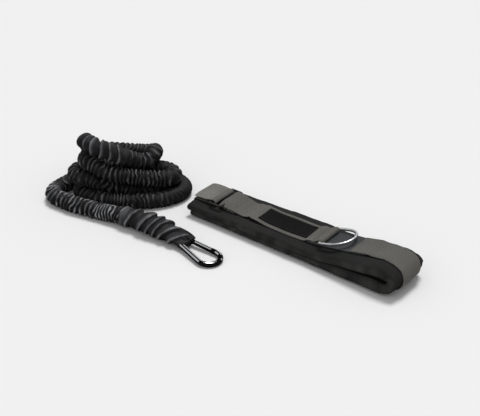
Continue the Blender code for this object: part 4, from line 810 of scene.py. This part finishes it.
# Front webbing, from its tucked end at the left to its loop round the D-ring
tuckedEnd = [(42.6, 33.86), (50, 31.2), (57.3, 28.96), (61.5, 28.01)]
frontLine = [
    (59.4, 25.6), (51, 25.6), (42.6, 25.8), (34, 27.9), (28, 28.6), (25.2, 30.2), (25.2, 32.6), (28, 34.2),
    (34, 34.5)] + tuckedEnd
frontTop = [
    (66, 26.6), (70, 25.9), (77.1, 26.56), (84.2, 28.1), (91.3, 29.3), (98.4, 29.3), (105.6, 28.67),
    (112.7, 27.7), (119.8, 26.66), (126.9, 25.9), (134, 25.6), (150, 25.6), (166.3, 25.7), (182.5, 26.05),
    (190.6, 26.38), (199.25, 27.0), (204.2, 29.35), (209.9, 31.95), (214.3, 32.38), (219.7, 32.97),
    (225.2, 36.2)]
frontLine += frontTop + bend((232, 35.96), webbing["ringTurn"], 130, -80, 11) + [
    (228, 32.0), (220, 31.1), (211.2, 29.96)]
layer("frontStrap", frontLine, wide, thick, greyWebbing, "front_webbing", "grey_webbing", "belt")

anchorLine = [
    (205.5, 27.34), (222.7, 29.1), (238.6, 31.35), (254.7, 34.18), (270.9, 36.97), (286.8, 39.85),
    (302.7, 43.21), (316.7, 46.38)]
layer("anchorStrap", anchorLine, wide, thick, slateWebbing, "anchor_strip", "slate_webbing", "belt")

# Bare woven label, with a heat-sealed rim
label = {
    "width": 35, "thickness": 0.9, "step": 1.2, "rimWidth": 1.3, "rimThickness": 0.5, "rimStep": 1.4,
    "rimAt": 16.7, "rimLift": 0.45}
labelLine = [
    (103, 31.0), (111.1, 30.0), (119.2, 28.9), (127.3, 27.9), (135.3, 27.3), (151.5, 27.28), (167.7, 27.4),
    (183.8, 27.8), (192, 28.15), (200, 28.89)]
layer(
    "bareLabel", labelLine, label["width"], label["thickness"], labelSatin, "label_patch", "label_cloth",
    "belt", label["step"])
for rimName, side in (("labelRimFront", -1), ("labelRimBack", 1)):
    flat = smoothLine(labelLine, label["rimStep"])
    rimW = np.full(len(flat), belt["middle"] + side * label["rimAt"])
    rim = np.stack([flat[:, 0], rimW, flat[:, 1] + label["rimLift"]], axis=1) * mm
    piece = strapSkin(
        rimName, rim, (0, 1, 0), label["rimWidth"] * mm, label["rimThickness"] * mm, labelSatin, inBelt)
    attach(piece, "belt")

# Hook and loop tape under the strap's free end
tape = {"width": 45, "thickness": 1.5, "rise": 0.9}
for name, node, body, start in (
        ("loopTape", "loop_field", "belt", 27.4), ("hookTape", "hook_field", "tail", 29.2)):
    points = [(-23, start), (-11, start + tape["rise"]), (1, start + 2 * tape["rise"])]
    layer(name, points, tape["width"], tape["thickness"], pileTape, node, "fastener_cloth", body)
tailLine = [
    (-30.2, 27.2), (-29.6, 29.8), (-26.6, 32.2), (-20, 33.9), (-10, 35.0), (0, 35.1), (5, 34.8), (8.1, 34.5)]
layer("closureTail", tailLine, wide, thick, paintedHighlightWebbing, "closure_tail", "grey_webbing", "tail", 0.8, True)
print("straps of the belt made")


# Stitches: short rounded dashes of thread, sunk at their ends

stitch = {"pitch": 3.4, "thread": 0.75, "around": 6, "reach": 21.5, "labelReach": 14.4, "labelSide": 14.6}
# Along one stitch, in shares of the pitch and the thread: place, thickness and height
stitchRings = ((-0.4, 0.35, -0.3), (-0.28, 0.85, 0), (0, 1, 0.12), (0.28, 0.85, 0), (0.4, 0.35, -0.3))


def stitchRow(name, corners, material, body):
    pitch, thread, around = stitch["pitch"], stitch["thread"], stitch["around"]
    corners = np.array(corners, float)
    line = atLengths(corners, np.arange(0, lengthsOf(corners)[-1], 0.5))
    spots = atLengths(line, np.arange(pitch / 2, lengthsOf(line)[-1], pitch))
    ahead = headings(spots)
    side = levelSides(ahead)
    up = np.cross(ahead, side)
    verts, faces = [], []
    turn = np.linspace(0, 2 * math.pi, around, endpoint=False)
    for k, spot in enumerate(spots):
        base = len(verts)
        for along, size, lift in stitchRings:
            middle = spot + ahead[k] * along * pitch + up[k] * lift * thread
            for a in turn:
                verts.append(middle + (side[k] * math.cos(a) + up[k] * math.sin(a)) * size * thread / 2)
        for ring in range(len(stitchRings) - 1):
            for j in range(around):
                a, b = base + ring * around + j, base + ring * around + (j + 1) % around
                faces.append((a, b, b + around, a + around))
        faces.append(tuple(range(base + around - 1, base - 1, -1)))
        faces.append(tuple(range(len(verts) - around, len(verts))))
    mesh = bpy.data.meshes.new(name)
    mesh.from_pydata(inBelt(np.array(verts) * mm).tolist(), [], faces)
    mesh.uv_layers.new(name="UVMap")
    mesh.shade_smooth()
    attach(addPiece(name, mesh, material), body)


def topOf(points, x, lift):
    ordered = sorted(points)
    return float(np.interp(x, [p[0] for p in ordered], [p[1] for p in ordered])) + lift


def acrossRow(name, points, x, lift, material, body, reach=stitch["reach"]):
    # A row from front to back, as far to both sides of the belt's middle
    z = topOf(points, x, lift)
    stitchRow(name, [(x, belt["middle"] - reach, z), (x, belt["middle"] + reach, z)], material, body)


labelEnds = (105.5, 197.5)
for row, side in enumerate((-1, 1)):
    w = belt["middle"] + side * stitch["labelSide"]
    points = [(x, w, topOf(labelLine, x, 0.55)) for x in np.linspace(*labelEnds, 40)]
    stitchRow(f"labelStitch{row}", points, blackThread, "belt")
for row, x in enumerate(labelEnds):
    acrossRow(f"labelEndStitch{row}", labelLine, x, 0.6, blackThread, "belt", stitch["labelReach"])
acrossRow("tailStitch0", tailLine, 3, 1.0, greyThread, "tail")
acrossRow("tailStitch1", tailLine, -20, 1.0, greyThread, "tail")
acrossRow("tuckStitch", tuckedEnd, 54, 1.1, greyThread, "belt")
for row, (x, lift) in enumerate(((213, 0.11), (217, 1.0))):  # the first is pulled in below the face
    acrossRow(f"ringStitch{row}", frontTop, x, lift, greyThread, "belt")
for row, x in enumerate((291, 296)):
    acrossRow(f"endStitch{row}", foldTop, x, 1.0, greyThread, "belt")
for row, side in enumerate((-1, 1)):
    w = belt["middle"] + side * stitch["reach"]
    points = [(x, w, topOf(foldTop, x, 0.95)) for x in np.linspace(298, 372, 40)]
    stitchRow(f"sideStitch{row}", points, greyThread, "belt")
print("stitches made")


# Metal and hidden pieces keep their own shapes and get their finish

finishes = {
    "hook_body": chromePlate, "hook_gate": chromePlate, "d_ring": satinNickel, "gate_pivot_pin": brushedSteel,
    "gate_latch_pin": brushedSteel, "gate_spring": brushedSteel, "gate_plunger": brushedSteel,
    "front_ferrule": brushedSteel, "rear_ferrule": brushedSteel, "closure_ring": blackEnamel,
    "elastic_core": latexRubber}
for name, finish in finishes.items():
    nodes[name].data.materials.clear()
    nodes[name].data.materials.append(finish)


# Floor, lamps and the dark cards that bright metal mirrors. Each window between the cards runs from
# and to an azimuth, and from and to a height above the floor, all in degrees

studio = {
    "floor": "#f0f0f0", "card": "#1c1c1c", "roughness": 0.9, "ambient": 0.505, "key": 1.87, "keyAngle": 20,
    "keyTilt": (-22, 9), "fill": 0.18, "fillAngle": 50, "fillTilt": (40, -50), "domeSize": 3,
    "cardWidth": 5, "cardHeight": 4, "lowestCard": 2,
    "windows": ((120, 190, 22, 58), (0, 360, 74, 90), (30, 90, 2, 26), (70, 110, 58, 70))}


def stageMaterial(name, colour):
    # Matt paper: a fine grain, and next to no shine
    material, tree = newMaterial(name)
    place = addNode(tree, "TexCoord").outputs["Object"]
    bump = raised(tree, noise(tree, place, 900, 2), 0.02, 0.2 * mm)
    values = {"Base Color": linear(colour), "Roughness": studio["roughness"], "Specular IOR Level": 0.1}
    shader = addNode(tree, "BsdfPrincipled", values, {"Normal": bump})
    addNode(tree, "OutputMaterial", {}, {0: shader.outputs[0]})
    return material


def stagePiece(name, verts, faces, material):
    mesh = bpy.data.meshes.new(name)
    mesh.from_pydata(verts, [], faces)
    piece = addPiece(name, mesh, material)
    return piece


def inWindow(azimuth, height):
    return any(a0 <= azimuth < a1 and h0 <= height < h1 for a0, a1, h0, h1 in studio["windows"])


def darkCards(size):
    # Cards all round and on the floor, which only reflections see. The windows are left open, as
    # softboxes are
    wide, high = studio["cardWidth"], studio["cardHeight"]
    verts, faces = [], []
    for az in range(0, 360, wide):
        for el in range(studio["lowestCard"], 90, high):
            if inWindow(az, el):
                continue
            n = len(verts)
            for a, e in ((az, el), (az + wide, el), (az + wide, el + high), (az, el + high)):
                a, e = math.radians(a), math.radians(min(e, 90))
                verts.append((math.cos(a) * math.cos(e), math.sin(a) * math.cos(e), math.sin(e)))
            faces.append((n, n + 1, n + 2, n + 3))
    n = len(verts)
    verts = (np.array(verts) * size).tolist()
    # The card on the floor is a painted dark reflection: metal sees black below it, in place of the lit floor
    # and its shade
    verts += [(x * size, y * size, 0.2 * mm) for x, y in ((-1, -1), (1, -1), (1, 1), (-1, 1))]
    faces.append((n, n + 1, n + 2, n + 3))
    cards = stagePiece("darkCards", verts, faces, stageMaterial("blackCard", studio["card"]))
    cards.visible_camera = cards.visible_diffuse = False
    cards.visible_shadow = cards.visible_transmission = False


floorMaterial = stageMaterial("matteFloor", studio["floor"])
stagePiece("studioFloor", [(-8, -8, 0), (8, -8, 0), (8, 12, 0), (-8, 12, 0)], [(0, 1, 2, 3)], floorMaterial)
darkCards(studio["domeSize"])

# The world lights the set softly, while the camera and reflections see it in the floor's own white
world = bpy.data.worlds.new("studioWorld")
scene.world = world
world.use_nodes = True
tree = world.node_tree
tree.nodes.clear()
white = linear(studio["floor"])
ambient = addNode(tree, "Background", {"Color": white, "Strength": studio["ambient"]}).outputs[0]
seen = addNode(tree, "Background", {"Color": white, "Strength": 1}).outputs[0]
path = addNode(tree, "LightPath").outputs
direct = counted(tree, "MAXIMUM", path["Is Camera Ray"], path["Is Glossy Ray"])
direct = counted(tree, "MAXIMUM", direct, path["Is Transmission Ray"])
both = addNode(tree, "MixShader", {}, {0: direct, 1: ambient, 2: seen}).outputs[0]
addNode(tree, "OutputWorld", {}, {0: both})
for lampName in ("key", "fill"):
    lamp = bpy.data.objects.new(lampName + "Lamp", bpy.data.lights.new(lampName + "Lamp", "SUN"))
    scene.collection.objects.link(lamp)
    lamp.data.energy = studio[lampName]
    lamp.data.angle = math.radians(studio[lampName + "Angle"])
    lamp.rotation_euler = [math.radians(a) for a in studio[lampName + "Tilt"]] + [0]
print("studio made")
